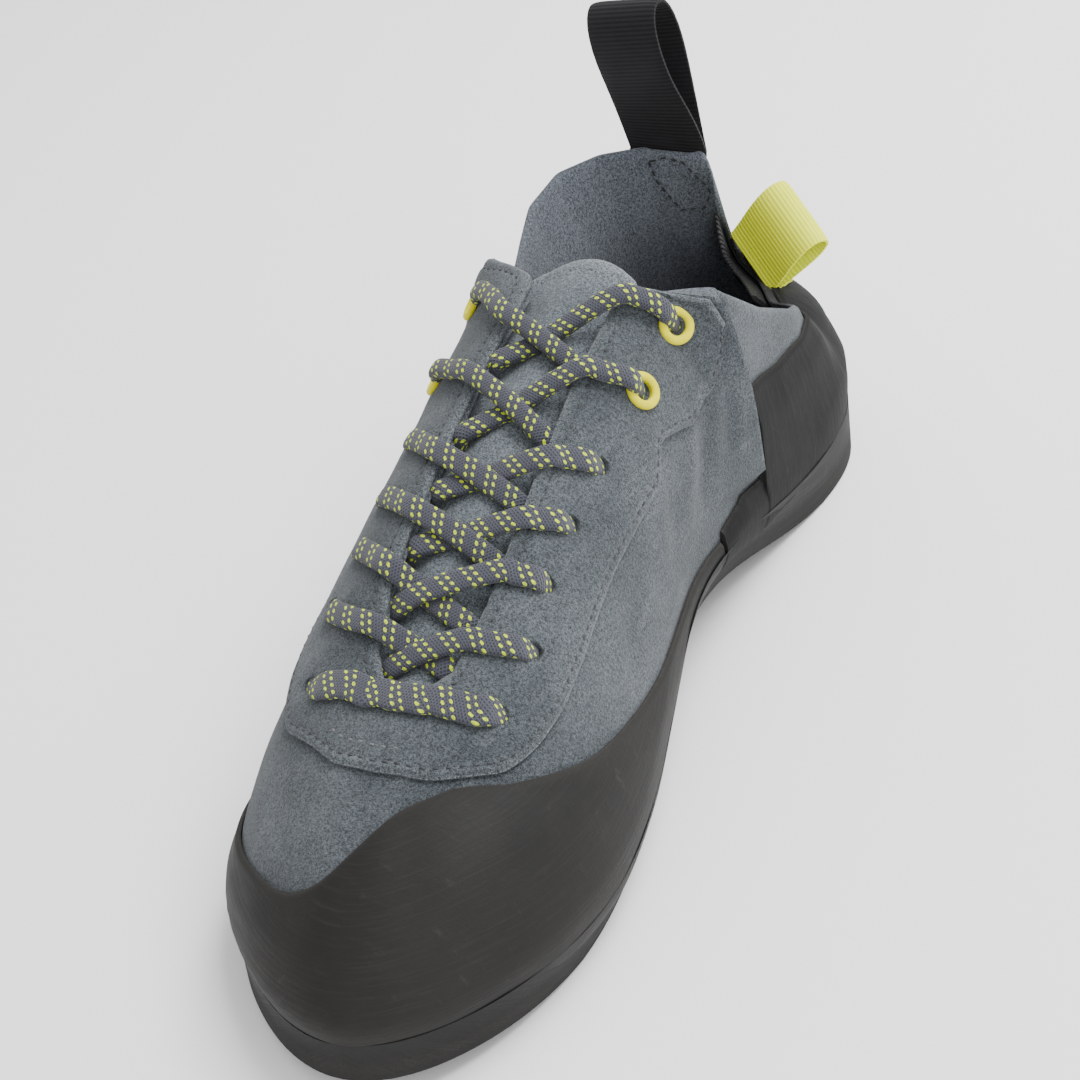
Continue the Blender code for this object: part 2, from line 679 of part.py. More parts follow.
def make_laces(material, collection, cutters):
    """The bar at the toe end, and six crossings, each of two strands joined where they meet."""
    at, up = LACE_BAR_LINE.T
    lift = FIT_GAP * 2 + EYESTAY_THICKNESS + LACE_THICKNESS / 2
    path = smooth_path(offset_skin(at, up, np.full(len(at), lift)), 11)
    faces_up = skin_normal(*smooth_path(LACE_BAR_LINE, 11).T)
    strap("lace_bar", path, faces_up, LACE_BAR_WIDTH, LACE_THICKNESS, material, collection)
    for index in range(len(LACE_PLACES) - 1):
        name = "lace_crossing_%d" % (index + 1)
        crossing = lace_strand(name, index, "outer", "inner", material, collection)
        other = lace_strand(name + "_mate", index, "inner", "outer", None, cutters)
        hide_guide(other)
        join = crossing.modifiers.new("joined strands", "BOOLEAN")
        join.operation = "UNION"
        join.solver = "EXACT"
        join.object = other


def hide_guide(item):
    item.hide_render = True
    item.display_type = "WIRE"


def hole_place(index, side):
    """A lace hole's centre on the skin and the direction that it runs in."""
    place = LACE_PLACES[index]
    station, up = place[0:2] if side == "inner" else place[2:4]
    here = np.array([station])
    return offset_skin(here, np.array([up]), quarter_step(here, np.array([up])))[0], skin_normal(here, up)[0]


def facing(centre, direction):
    """A placement whose Z axis points along a direction."""
    turn = Vector(direction).to_track_quat("Z", "Y").to_matrix().to_4x4()
    return Matrix.Translation(Vector(centre)) @ turn


def make_cutters(cutters):
    """One guide mesh with a short cylinder through each lace hole."""
    work = bmesh.new()
    for index in range(len(LACE_PLACES)):
        width = PUNCHED_HOLE if index < PUNCHED_PAIRS else EYELET_BARREL + 2 * EYELET_CLEARANCE
        sides = 8 if index < PUNCHED_PAIRS else 12
        for side in ("inner", "outer"):
            centre, direction = hole_place(index, side)
            depth = 4 * (UPPER_WALL + EYESTAY_THICKNESS)
            bmesh.ops.create_cone(
                work, cap_ends=True, segments=sides, radius1=width / 2, radius2=width / 2,
                depth=depth, matrix=facing(centre, direction))
    mesh = bpy.data.meshes.new("hole_cutters")
    work.to_mesh(mesh)
    work.free()
    item = bpy.data.objects.new("hole_cutters", mesh)
    cutters.objects.link(item)
    hide_guide(item)
    return item


def cut_holes(item, cutter):
    cut = item.modifiers.new("lace holes", "BOOLEAN")
    cut.operation = "DIFFERENCE"
    cut.solver = "EXACT"
    cut.object = cutter


def eyelet_seat(index, side):
    """How high the eyestay's face stands round a lace hole, under the eyelet's flange."""
    station, up = LACE_PLACES[index][0:2] if side == "inner" else LACE_PLACES[index][2:4]
    centre, direction = hole_place(index, side)
    step = 0.01
    along = np.linalg.norm(last_skin(station + step, up) - last_skin(station, up)) / step
    rise = np.linalg.norm(last_skin(station, up + step) - last_skin(station, up)) / step
    angle = np.linspace(0, 2 * math.pi, 16, endpoint=False)
    at = station + np.cos(angle) * EYELET_FLANGE / 2 / along
    ups = np.minimum(up + np.sin(angle) * EYELET_FLANGE / 2 / rise, 1.0)
    ring = offset_skin(at, ups, quarter_step(at, ups) + FIT_GAP + EYESTAY_THICKNESS)
    return max(float(((ring - centre) @ direction).max()), EYESTAY_THICKNESS + FIT_GAP) + FLANGE_CLEARANCE


def make_eyelet(name, index, side, material, collection):
    """A turned eyelet: a flange on the eyestay, a barrel through both layers and a rolled back."""
    bore = EYELET_BORE / 2
    barrel = EYELET_BARREL / 2
    flange = EYELET_FLANGE / 2
    station, up = LACE_PLACES[index][0:2] if side == "inner" else LACE_PLACES[index][2:4]
    step = float(quarter_step(np.array([station]), up)[0])
    seat = eyelet_seat(index, side)
    depth = seat + UPPER_WALL + step + ROLL_CLEARANCE
    rolled = (flange + barrel) / 2
    profile = (
        (bore, EYELET_LIP / 2), (bore + EYELET_LIP / 2, EYELET_LIP), (flange - EYELET_LIP / 2, EYELET_LIP * 0.8),
        (flange, 0.0), (barrel, 0.0), (barrel, -depth), (rolled, -depth), (rolled, -depth - EYELET_LIP / 2),
        (bore, -depth - EYELET_LIP / 2))
    mesh = bpy.data.meshes.new(name)
    count = len(profile)
    mesh.from_pydata([(r, 0.0, z) for r, z in profile], [(k, (k + 1) % count) for k in range(count)], [])
    mesh.materials.append(material)
    item = bpy.data.objects.new(name, mesh)
    collection.objects.link(item)
    turned = item.modifiers.new("turned", "SCREW")
    turned.steps = 14
    turned.render_steps = 14
    turned.use_merge_vertices = True
    turned.merge_threshold = 0.00001
    centre, direction = hole_place(index, side)
    item.matrix_world = facing(centre + direction * seat, direction)


def webbing_loop(name, seat, lean_to, fold, length, spread, tab, material, collection):
    """A folded strap: two layers on the collar, then a teardrop that reaches and turns to its fold."""
    base, across, tab_up = seat
    turn = np.linspace(0, 2 * math.pi, 21)
    height = length * (1 - np.cos(turn)) / 2
    stack = WEBBING_THICKNESS + FIT_GAP
    lean = -stack / 2 * np.cos(turn / 2) - spread / 2 * np.sin(turn) * height / length
    height = np.concatenate([[-tab], height, [-tab]]) + 0.0
    lean = np.concatenate([[-stack / 2], lean, [stack / 2]]) + stack / 2 + WEBBING_THICKNESS / 2
    fold = unit(fold)
    up = unit(np.array(lean_to) - fold * (np.array(lean_to) @ fold))
    tab_up = unit(tab_up - across * (tab_up @ across))
    below = np.minimum(height, 0.0)[:, None]
    above = np.maximum(height, 0.0)[:, None]
    fade = np.clip(height / length, 0.0, 1.0)[:, None]
    out = unit((1 - fade) * np.cross(across, tab_up) + fade * np.cross(fold, up))
    path = base + tab_up * below + up * above + out * lean[:, None]
    run = unit(np.gradient(path, axis=0))
    turned = unit((1 - fade) * across + fade * fold)
    outward = unit(np.cross(run, turned))
    half = WEBBING_THICKNESS / 2
    sides = np.array([-0.5, 0.5])[None, :, None] * WEBBING_WIDTH * turned[:, None]
    outer = path[:, None] + sides + outward[:, None] * half
    inner = path[:, None] + sides - outward[:, None] * half
    return shell_from_grids(name, outer, inner, material, collection)


def loop_seat(place, out, rise, turn):
    """A loop's seat on the collar: a point off the skin, its seam turned from the edge, and its way up."""
    station, reach, up = place
    at = np.array([station, station + reach, station - reach])
    point, ahead, behind = offset_skin(at, np.full(3, up), np.full(3, out))
    low = offset_skin(at[:1], SKIN_ROWS[-2:-1], np.full(1, out))[0]
    upward = unit(point - low)
    along = unit(ahead - behind)
    seam = math.cos(turn) * along + math.sin(turn) * upward
    return point + upward * rise, seam, math.cos(turn) * upward - math.sin(turn) * along


def make_pull_loops(side_material, back_material, collection):
    """The long loop sewn on the ear of the collar, and the short one sewn over the elastic."""
    seat = loop_seat(SIDE_LOOP_SEAT, 3 * FIT_GAP, 0.0, 0.0)
    webbing_loop("pull_loop_side", seat, SIDE_LOOP_LEAN, SIDE_LOOP_FOLD, SIDE_LOOP_LENGTH,
                 SIDE_LOOP_SPREAD, SIDE_LOOP_TAB, side_material, collection)
    seat = loop_seat(BACK_LOOP_SEAT, RUBBER_SKIVE + LOOP_CLEARANCE, BACK_LOOP_RISE, BACK_LOOP_TURN)
    webbing_loop("pull_loop_back", seat, BACK_LOOP_LEAN, BACK_LOOP_FOLD, BACK_LOOP_LENGTH,
                 BACK_LOOP_SPREAD, BACK_LOOP_TAB, back_material, collection)


def centre_on_floor(parts):
    """Moves every piece so that the shoe's box stands with the middle of its foot on the origin."""
    corners = []
    graph = bpy.context.evaluated_depsgraph_get()
    for item in parts.objects:
        shape = item.evaluated_get(graph)
        corners += [shape.matrix_world @ Vector(corner) for corner in shape.bound_box]
    corners = np.array(corners)
    middle = (corners.min(0) + corners.max(0)) / 2
    for item in bpy.data.objects:
        item.matrix_world = Matrix.Translation((-middle[0], -middle[1], 0.0)) @ item.matrix_world


def main():
    for item in list(bpy.data.objects):
        bpy.data.objects.remove(item)
    parts = bpy.data.collections.new("climbing_shoe")
    cutters = bpy.data.collections.new("cutters")
    bpy.context.scene.collection.children.link(parts)
    bpy.context.scene.collection.children.link(cutters)

    suede = make_material("suede", (0.16, 0.19, 0.22), 0.95)
    eyestay_suede = make_material("eyestay_suede", (0.17, 0.20, 0.23), 0.95)
    toe_rubber = make_material("toe_rubber", (0.045, 0.044, 0.042), 0.6)
    heel_rubber = make_material("heel_rubber", (0.040, 0.041, 0.042), 0.6)
    sole_rubber = make_material("sole_rubber", (0.040, 0.040, 0.040), 0.65)
    tongue_suede = make_material("tongue_suede", (0.14, 0.17, 0.20), 0.95)
    sock = make_material("insole_sock", (0.05, 0.06, 0.08), 0.9)
    stretch = make_material("stretch_fabric", (0.03, 0.03, 0.035), 0.85)
    lace = make_material("lace_cord", (0.11, 0.12, 0.17), 0.8)
    black_web = make_material("black_webbing", (0.022, 0.020, 0.022), 0.8)
    lime_web = make_material("lime_webbing", (0.68, 0.73, 0.10), 0.75)
    painted = make_material("painted_eyelet", (0.75, 0.68, 0.06), 0.35, 0.2)

    cutter = make_cutters(cutters)
    cut_holes(make_upper(suede, parts), cutter)
    cut_holes(make_eyestay(eyestay_suede, parts), cutter)
    make_rand("toe_rand", TOE_RAND_TOP, toe_rubber, parts)
    make_rand("heel_rand", HEEL_RAND_TOP, heel_rubber, parts)
    make_outsole(sole_rubber, parts)
    make_insole(sock, parts)
    make_tongue(tongue_suede, parts)
    make_elastic(stretch, parts)
    make_laces(lace, parts, cutters)
    number = 1
    for index in range(PUNCHED_PAIRS, len(LACE_PLACES)):
        for side in ("inner", "outer"):
            make_eyelet("eyelet_%d" % number, index, side, painted, parts)
            number += 1
    make_pull_loops(black_web, lime_web, parts)
    bpy.context.view_layer.update()
    centre_on_floor(parts)


main()
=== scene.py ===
# %% [markdown]
# A climbing shoe, dressed in suede, rubber and webbing
#
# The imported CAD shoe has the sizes, the walls and the holes. It could be subdivided and displaced, but its
# loose triangles would show. So this lesson keeps its frame and computes each visible piece again on a finer
# grid, where leather can wrinkle, rubber can be sanded and lace can be woven. The pieces are functions of
# two parameters: a place round the shoe and a height on it.

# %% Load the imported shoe
import math

import bpy
import numpy as np
from mathutils import Matrix


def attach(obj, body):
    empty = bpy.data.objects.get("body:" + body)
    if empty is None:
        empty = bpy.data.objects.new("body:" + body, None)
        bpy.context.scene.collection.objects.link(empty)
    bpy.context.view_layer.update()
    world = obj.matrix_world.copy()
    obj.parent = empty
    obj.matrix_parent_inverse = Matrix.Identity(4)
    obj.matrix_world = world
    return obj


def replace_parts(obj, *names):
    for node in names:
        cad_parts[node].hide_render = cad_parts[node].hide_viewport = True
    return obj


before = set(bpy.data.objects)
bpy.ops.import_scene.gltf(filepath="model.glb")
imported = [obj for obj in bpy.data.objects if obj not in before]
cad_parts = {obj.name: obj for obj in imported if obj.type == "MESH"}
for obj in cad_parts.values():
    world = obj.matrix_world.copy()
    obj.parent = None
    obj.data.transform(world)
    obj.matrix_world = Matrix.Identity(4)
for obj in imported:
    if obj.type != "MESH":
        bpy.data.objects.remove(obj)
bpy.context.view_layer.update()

# %% [markdown]
# The last
#
# A shoemaker starts from a last, the form that the shoe is pulled over. It could be sculpted, but a sculpted
# form can't be measured or changed by a number. Here it is a function of a few sizes in metres and a table:
# one row for each of 20 stations round the foot, from the toe tip over the inner side and the heel to the
# outer side. The rows are the CAD model's own, so the fine pieces fit its solids.

# %% Sizes and stations
LENGTH, BALL_WIDTH, HEEL_WIDTH = 0.255, 0.094, 0.066
INSTEP_HEIGHT, COLLAR_HEIGHT, WIDE_HEIGHT = 0.090, 0.086, 0.0135
TUCK, ARCH_RISE, TOE_SPRING = 0.005, 0.011, 0.005
SOLE_THICKNESS, SOLE_EDGE, RUBBER, RUBBER_SKIVE = 0.0042, 0.0030, 0.0020, 0.0010
UPPER_WALL, QUARTER_STEP, EYESTAY = 0.0018, 0.0030, 0.0014
GAP = 0.0003
CENTRED = np.array([0.004323, -0.002627, 0.0])
STATIONS = np.array([
    # ball, heel, along, wide, tuck, arch, spring, full, cup, edge
    (0.10, 0.00, -0.978, 0.55, 0.70, 0.00, 1.00, 0.50, 0.00, 0.85),
    (0.50, 0.00, -0.880, 0.60, 0.75, 0.00, 0.75, 0.52, 0.00, 0.35),
    (0.75, 0.00, -0.690, 0.80, 0.80, 0.00, 0.10, 0.60, 0.00, -0.60),
    (0.80, 0.00, -0.470, 0.90, 0.80, 0.00, -0.05, 0.62, 0.00, -1.10),
    (0.69, 0.00, -0.205, 1.10, 1.00, 0.35, 0.00, 0.62, 0.00, -1.40),
    (0.565, 0.00, 0.065, 1.00, 1.10, 1.00, 0.00, 0.72, 0.10, -1.50),
    (0.00, 0.82, 0.298, 0.95, 1.10, 0.85, 0.00, 0.75, 0.06, -1.30),
    (0.00, 0.89, 0.533, 1.20, 1.00, 0.15, 0.00, 0.10, 0.00, -0.50),
    (0.00, 0.92, 0.760, 1.45, 1.00, -0.04, 0.00, 0.10, 0.00, 0.20),
    (0.00, 0.62, 0.930, 1.60, 1.00, -0.02, 0.00, 0.10, 0.09, 0.30),
    (0.00, 0.00, 0.982, 1.60, 1.00, -0.02, 0.00, 0.10, 0.00, 0.40),
    (0.00, -0.62, 0.930, 1.60, 1.00, -0.02, 0.00, 0.10, -0.06, 0.40),
    (0.00, -0.95, 0.760, 1.45, 1.00, -0.04, 0.00, 0.10, -0.06, 0.30),
    (0.00, -0.99, 0.533, 1.25, 1.00, 0.00, 0.00, 0.10, -0.06, 0.20),
    (0.00, -1.04, 0.298, 1.15, 1.00, 0.20, 0.00, 0.80, 0.16, -0.20),
    (-0.82, 0.00, 0.065, 1.00, 1.00, 0.22, 0.00, 0.80, 0.16, -0.20),
    (-0.93, 0.00, -0.205, 0.85, 1.00, 0.05, 0.00, 0.72, 0.08, 0.20),
    (-0.99, 0.00, -0.455, 0.78, 0.80, 0.00, -0.05, 0.65, 0.03, 0.50),
    (-0.88, 0.00, -0.706, 0.70, 0.80, 0.00, 0.05, 0.62, 0.00, 0.80),
    (-0.40, 0.00, -0.908, 0.60, 0.75, 0.00, 0.70, 0.55, 0.00, 1.00),
])
TURN = float(len(STATIONS))
WIDEST_AT = 0.2
print(len(STATIONS), "stations round the foot")

# %% [markdown]
# The upper's top edge runs along the throat, where the lace is, and round the collar, where the foot goes in.
# It could be cut from the last with a boolean. A table of its own is surer: each row gives a station and
# where the edge stands there, as shares of the half width, the half length and a height.

# %% The throat and the collar
THROAT = np.array([
    # station, across, along, rise
    (14.30, -0.27, 0.270, 1.000), (15.00, -0.28, 0.047, 0.933), (16.00, -0.28, -0.173, 0.833),
    (17.00, -0.28, -0.361, 0.728), (18.00, -0.23, -0.478, 0.633), (19.00, -0.15, -0.525, 0.603),
    (0.00, -0.05, -0.533, 0.600), (1.00, 0.06, -0.525, 0.603), (2.00, 0.15, -0.486, 0.617),
    (3.00, 0.18, -0.361, 0.683), (4.00, 0.18, -0.173, 0.800), (5.00, 0.18, 0.047, 0.917),
    (5.75, 0.20, 0.259, 0.994),
])
COLLAR = np.array([
    # station, across, along, rise
    (6.35, 0.88, 0.330, 1.000), (7.00, 0.92, 0.470, 0.826), (7.60, 0.91, 0.612, 0.698),
    (8.00, 0.82, 0.698, 0.640), (8.30, 0.52, 0.753, 0.580), (9.00, 0.27, 0.850, 0.550),
    (10.00, -0.06, 0.905, 0.575), (10.30, -0.18, 0.922, 0.907), (11.00, -0.61, 0.894, 0.983),
    (11.60, -0.91, 0.839, 0.994), (12.20, -1.12, 0.745, 1.000), (12.80, -1.20, 0.643, 0.965),
    (13.20, -1.16, 0.557, 0.907), (13.60, -1.06, 0.455, 0.860), (13.85, -0.86, 0.361, 1.012),
])
EDGE_SOFTNESS = 0.06
print(len(THROAT) + len(COLLAR), "points along the throat and the collar")

# %% [markdown]
# Between two stations the foot is smooth. Straight pieces would show a ridge at each station, so a closed
# cubic spline joins the rows. It passes through every row, and its slope and bend don't jump.

# %% Directions and closed splines
def unit(vector):
    """A vector, or each row of an array, divided by its own length."""
    vector = np.asarray(vector, float)
    return vector / np.linalg.norm(vector, axis=-1, keepdims=True)


def closed_spline(values, at):
    """The closed cubic through equally spaced rows: its second derivatives solve the 1-4-1 system."""
    count = len(values)
    rows = np.arange(count)
    system = np.zeros((count, count))
    system[rows, rows] = 4.0
    system[rows, (rows + 1) % count] = 1.0
    system[rows, (rows - 1) % count] = 1.0
    second = np.linalg.solve(system, 6.0 * (np.roll(values, -1, 0) - 2.0 * values + np.roll(values, 1, 0)))
    place = np.mod(at, count)
    low = np.floor(place).astype(int) % count
    high = (low + 1) % count
    part = (place - np.floor(place))[:, None]
    rest = 1.0 - part
    bend = (rest ** 3 - rest) * second[low] + (part ** 3 - part) * second[high]
    return rest * values[low] + part * values[high] + bend / 6.0


middle = closed_spline(STATIONS, np.array([4.5]))[0]
print("halfway between stations 4 and 5 the along share is %.3f" % middle[2])

# %% [markdown]
# Three measures are read from the tables at any station: the widest line of the side, the top edge, and the
# way out of the shoe. The edge has corners at the eyestay's ends and the collar's ear, so it stays straight
# between its points, and only a short weighted mean rounds it.

# %% The widest line, the edge and the way out
def station_values(at):
    """Widest line, feather height, tuck, fullness, cup and sole edge: the spline's rows times their sizes."""
    ball, heel, along, wide, tuck, arch, spring, full, cup, edge = closed_spline(STATIONS, at).T
    feather = SOLE_THICKNESS + RUBBER + 2 * GAP + arch * ARCH_RISE + spring * TOE_SPRING
    across = ball * BALL_WIDTH / 2 + heel * HEEL_WIDTH / 2
    widest = np.stack([across, along * LENGTH / 2, feather + wide * WIDE_HEIGHT], 1)
    return widest, feather, tuck * TUCK, full, cup * HEEL_WIDTH / 2, edge * SOLE_EDGE


def edge_point(at):
    """The throat and collar edge: straight between its points, then a weighted mean of 9 places."""
    rows = np.concatenate([THROAT * (1, BALL_WIDTH / 2, LENGTH / 2, INSTEP_HEIGHT),
                           COLLAR * (1, HEEL_WIDTH / 2, LENGTH / 2, COLLAR_HEIGHT)])
    rows = rows[np.argsort(rows[:, 0])]
    knots = np.concatenate([rows[:, 0] - TURN, rows[:, 0], rows[:, 0] + TURN])
    columns = np.tile(rows[:, 1:], (3, 1))
    steps = np.linspace(-2, 2, 9)
    weights = np.exp(-steps * steps / 1.2)
    mean = 0.0
    for step, weight in zip(steps, weights / weights.sum()):
        place = np.mod(at, TURN) + step * EDGE_SOFTNESS
        mean = mean + weight * np.stack([np.interp(place, knots, columns[:, k]) for k in range(3)], 1)
    return mean


def plan_normal(at):
    """The outward direction in plan: the widest line's step, turned by a right angle."""
    run = unit((station_values(at + 0.01)[0] - station_values(at - 0.01)[0])[:, :2])
    return np.stack([run[:, 1], -run[:, 0], np.zeros(len(run))], 1)


whole_turn = np.linspace(0, TURN, 200)
widest_line = station_values(whole_turn)[0]
print("widest line spans %.1f by %.1f mm" % tuple(np.ptp(widest_line, axis=0)[:2] * 1000))

# %% [markdown]
# The last's side has two parts. Below the widest line it turns in under the foot, as a quarter arc. Above, it
# rises to the edge, partly straight and partly as a quarter ellipse: the more of the ellipse, the fuller the
# side. Behind the foot the collar stands up and flares, and the heel rubber bulges, so small tables add that.

# %% The last's skin
HEEL_COLLAR = np.array([
    # station, rise and flare of the collar's edge in mm
    (8.0, 0.0, 0.0), (8.6, 3.0, 0.0), (9.2, 4.0, 0.0), (9.6, 5.0, 0.5), (9.8, 6.5, 1.5), (10.0, 9.0, 3.0),
    (10.2, 4.0, 4.0), (10.45, 1.0, 2.5), (10.9, 0.0, 0.0),
])
COLLAR_STARTS = 0.6
HEEL_BULGE, BULGE_AT, BULGE_REACH, BULGE_STARTS = 0.0028, 9.5, 0.8, 0.45
STEP_ROUND, STEP_UP = 0.016, 0.004


def last_skin(at, up):
    """The last's outside: a quarter arc up to the widest line, then a blend of line and quarter ellipse."""
    at, up = np.broadcast_arrays(np.asarray(at, float), np.asarray(up, float))
    shape = at.shape
    at, up = at.ravel(), up.ravel()
    widest, feather, tuck, full, cup = station_values(at)[:5]
    outward = plan_normal(at)
    turn = np.clip(up / WIDEST_AT, 0, 1) * math.pi / 2
    under = widest - outward * (tuck * (1 - np.sin(turn)))[:, None]
    under[:, 2] = feather + (widest[:, 2] - feather) * (1 - np.cos(turn))
    rise = np.clip((up - WIDEST_AT) / (1 - WIDEST_AT), 0, 1)
    inward = (1 - full) * rise + full * (1 - np.cos(rise * math.pi / 2))
    upward = (1 - full) * rise + full * np.sin(rise * math.pi / 2)
    share = np.stack([inward, inward, upward], 1)
    over = widest + share * (edge_point(at) - widest) + outward * (cup * np.sin(math.pi * rise))[:, None]
    place = at % TURN
    late = np.clip((up - COLLAR_STARTS) / (1 - COLLAR_STARTS), 0, 1) ** 2 / 1000
    lift = np.interp(place, HEEL_COLLAR[:, 0], HEEL_COLLAR[:, 1]) * late
    flare = np.interp(place, HEEL_COLLAR[:, 0], HEEL_COLLAR[:, 2]) * late
    bell = np.exp(-((place - BULGE_AT) / BULGE_REACH) ** 2)
    bulge = HEEL_BULGE * bell * np.sin(math.pi * np.clip((up - BULGE_STARTS) / (1 - BULGE_STARTS), 0, 1))
    over = over + np.array([0.0, 0.0, 1.0]) * lift[:, None] + outward * (flare + bulge)[:, None]
    return np.where((up < WIDEST_AT)[:, None], under, over).reshape(shape + (3,)) + CENTRED


def skin_normal(at, up):
    """The skin's outward direction: the cross product of a short step round and a short step up."""
    at, up = np.broadcast_arrays(np.asarray(at, float), np.asarray(up, float))
    round_step = last_skin(at + STEP_ROUND, up) - last_skin(at - STEP_ROUND, up)
    up_step = last_skin(at, np.minimum(up + STEP_UP, 1)) - last_skin(at, np.maximum(up - STEP_UP, 0))
    return unit(np.cross(round_step, up_step))


def offset_skin(at, up, out):
    """The last's skin moved outwards by out."""
    return last_skin(at, up) + skin_normal(at, up) * np.asarray(out, float)[..., None]


print("the edge stands %.1f mm over the floor at its highest" % (last_skin(whole_turn, 1.0)[:, 2].max() * 1000))

# %% [markdown]
# Surfaces from whole arrays
#
# Every piece is a grid of points. They could be joined corner by corner with bmesh, which is slow for fine
# grids, so whole arrays are handed over at once. One function turns them into a mesh, writes its cloth
# coordinates in metres into a UV map, so that weave and sanding run the right way, and keeps shares such as
# wear or the painted shade in a hole as attributes, which the materials read.

# %% From arrays to a mesh
SHARP_EDGE = 50


def make_mesh(name, points, faces, uv, shares, material, body="root"):
    """A smooth mesh object from points, four-cornered faces, corner coordinates and point attributes."""
    mesh = bpy.data.meshes.new(name)
    mesh.vertices.add(len(points))
    mesh.vertices.foreach_set("co", np.asarray(points, np.float32).ravel())
    mesh.loops.add(faces.size)
    mesh.loops.foreach_set("vertex_index", faces.ravel().astype(np.int32))
    mesh.polygons.add(len(faces))
    mesh.polygons.foreach_set("loop_start", np.arange(0, faces.size, 4, dtype=np.int32))
    layer = mesh.uv_layers.new(name="cloth")
    layer.data.foreach_set("uv", np.asarray(uv, np.float32).ravel())
    for key, values in shares.items():
        kept = mesh.attributes.new(key, "FLOAT", "POINT")
        kept.data.foreach_set("value", np.asarray(values, np.float32).ravel())
    mesh.update(calc_edges=True)
    mesh.validate()
    mesh.materials.append(material)
    mesh.shade_smooth()
    mesh.set_sharp_from_angle(angle=math.radians(SHARP_EDGE))
    item = bpy.data.objects.new(name, mesh)
    bpy.context.scene.collection.objects.link(item)
    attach(item, body)
    return item


def grid_faces(columns, rows, wrap_columns, wrap_rows):
    """Corner numbers of a grid's cells, as indices of column and row before and after wrapping."""
    i, k = np.meshgrid(np.arange(columns if wrap_columns else columns - 1),
                       np.arange(rows if wrap_rows else rows - 1), indexing="ij")
    i, k = i.ravel(), k.ravel()
    corners = ((0, 0), (1, 0), (1, 1), (0, 1))
    return np.stack([np.stack([i + a, k + b], 1) for a, b in corners], 1)


print("a 3 by 3 grid has", len(grid_faces(3, 3, False, False)), "cells")

# %% [markdown]
# Leather and rubber are sheets with two faces and cut edges. Solidify would give every edge the same square
# cut. Here the outer and the inner face are two grids of their own, so an edge can be skived or rounded: a
# section runs up the outer grid and down the inner one, and its first and last columns are closed.

# %% A closed shell from two grids
def shell(name, outer, inner, material, place, shares=None, wrap=False, inner_shares=None):
    """A closed shell: a section runs up the outer grid and down the inner one, carried along the columns."""
    columns, rows = outer.shape[:2]
    section = np.concatenate([outer, inner[:, ::-1]], 1)
    full = 2 * rows
    inner_shares = inner_shares or {}
    at = grid_faces(columns, full, wrap, True)
    faces = (at[..., 0] % columns) * full + at[..., 1] % full
    coordinates = np.concatenate([place, place[:, ::-1]], 1)
    coordinates = np.concatenate([coordinates, coordinates[:1]], 0)
    if wrap:
        coordinates[-1, :, 0] = coordinates[-2, :, 0] + (coordinates[-2, :, 0] - coordinates[-3, :, 0])
    uv = coordinates[at[..., 0], at[..., 1] % full]
    if not wrap:
        k = np.arange(rows - 1)
        start = np.stack([k, k + 1, full - 2 - k, full - 1 - k], 1)
        faces = np.concatenate([faces, start, (start + (columns - 1) * full)[:, ::-1]])
        uv = np.concatenate([uv, coordinates[0][start], coordinates[-2][start][:, ::-1]])
    values = {"inside": np.concatenate([np.zeros((columns, rows)), np.ones((columns, rows))], 1)}
    for key, share in (shares or {}).items():
        values[key] = np.concatenate([share, inner_shares.get(key, share)[:, ::-1]], 1)
    return make_mesh(name, section.reshape(-1, 3), faces, uv, values, material)


print("grids can be closed to shells")

# %% [markdown]
# A weave or a sanding streak has a size in millimetres, so the cloth coordinates are distances along the
# piece, not shares of it. The soft step is used wherever something starts gently.

# %% Cloth coordinates and soft steps
def cloth_place(points):
    """Coordinates in metres: the mean distance along the columns and each point's distance up its column."""
    steps = np.linalg.norm(np.diff(points, axis=0), axis=2).mean(1)
    along = np.concatenate([[0], np.cumsum(steps)])[:, None]
    up = run_up(points)
    return np.stack([np.broadcast_to(along, up.shape), up], 2)


def smooth(low, high, value):
    """A soft step from 0 to 1 between low and high: 3t^2 - 2t^3."""
    t = np.clip((value - low) / (high - low), 0, 1)
    return t * t * (3 - 2 * t)


def run_up(points):
    """The distance up each column of a grid, from its first point."""
    steps = np.linalg.norm(np.diff(points, axis=1), axis=2)
    return np.concatenate([np.zeros((len(points), 1)), np.cumsum(steps, 1)], 1)


def run_along(points):
    """The distance along a line of points, from its first one."""
    return np.concatenate([[0], np.cumsum(np.linalg.norm(np.diff(points, axis=0), axis=1))])


print("round the widest line it is %.0f mm" % (run_along(widest_line)[-1] * 1000))

# %% [markdown]
# Materials
#
# Photographs of leather could be mapped on, but they stretch and repeat. Each finish here is procedural and
# reads object coordinates, the cloth coordinates or an attribute, so it stays with the shoe from every side.
# A short helper keeps the node trees readable.

# %% A helper for node trees
def node(tree, kind, settings=(), **inputs):
    """A node of one kind: settings are its properties, inputs are values or other nodes' sockets."""
    item = tree.nodes.new(kind)
    for key, value in dict(settings).items():
        setattr(item, key, value)
    for key, value in inputs.items():
        numbered = key[0] == "i" and key[1:].isdigit()
        socket = item.inputs[int(key[1:]) if numbered else key.replace("_", " ")]
        if isinstance(value, bpy.types.NodeSocket):
            tree.links.new(value, socket)
        else:
            socket.default_value = value
    return item


def mix(tree, share, first, second, way="MIX"):
    """Two colours mixed by a share."""
    item = tree.nodes.new("ShaderNodeMix")
    item.data_type = "RGBA"
    item.blend_type = way
    for socket, value in ((item.inputs[0], share), (item.inputs[6], first), (item.inputs[7], second)):
        if isinstance(value, bpy.types.NodeSocket):
            tree.links.new(value, socket)
        elif isinstance(value, tuple):
            socket.default_value = (*value, 1.0)
        else:
            socket.default_value = value
    return item.outputs[2]


print("node trees can be built")

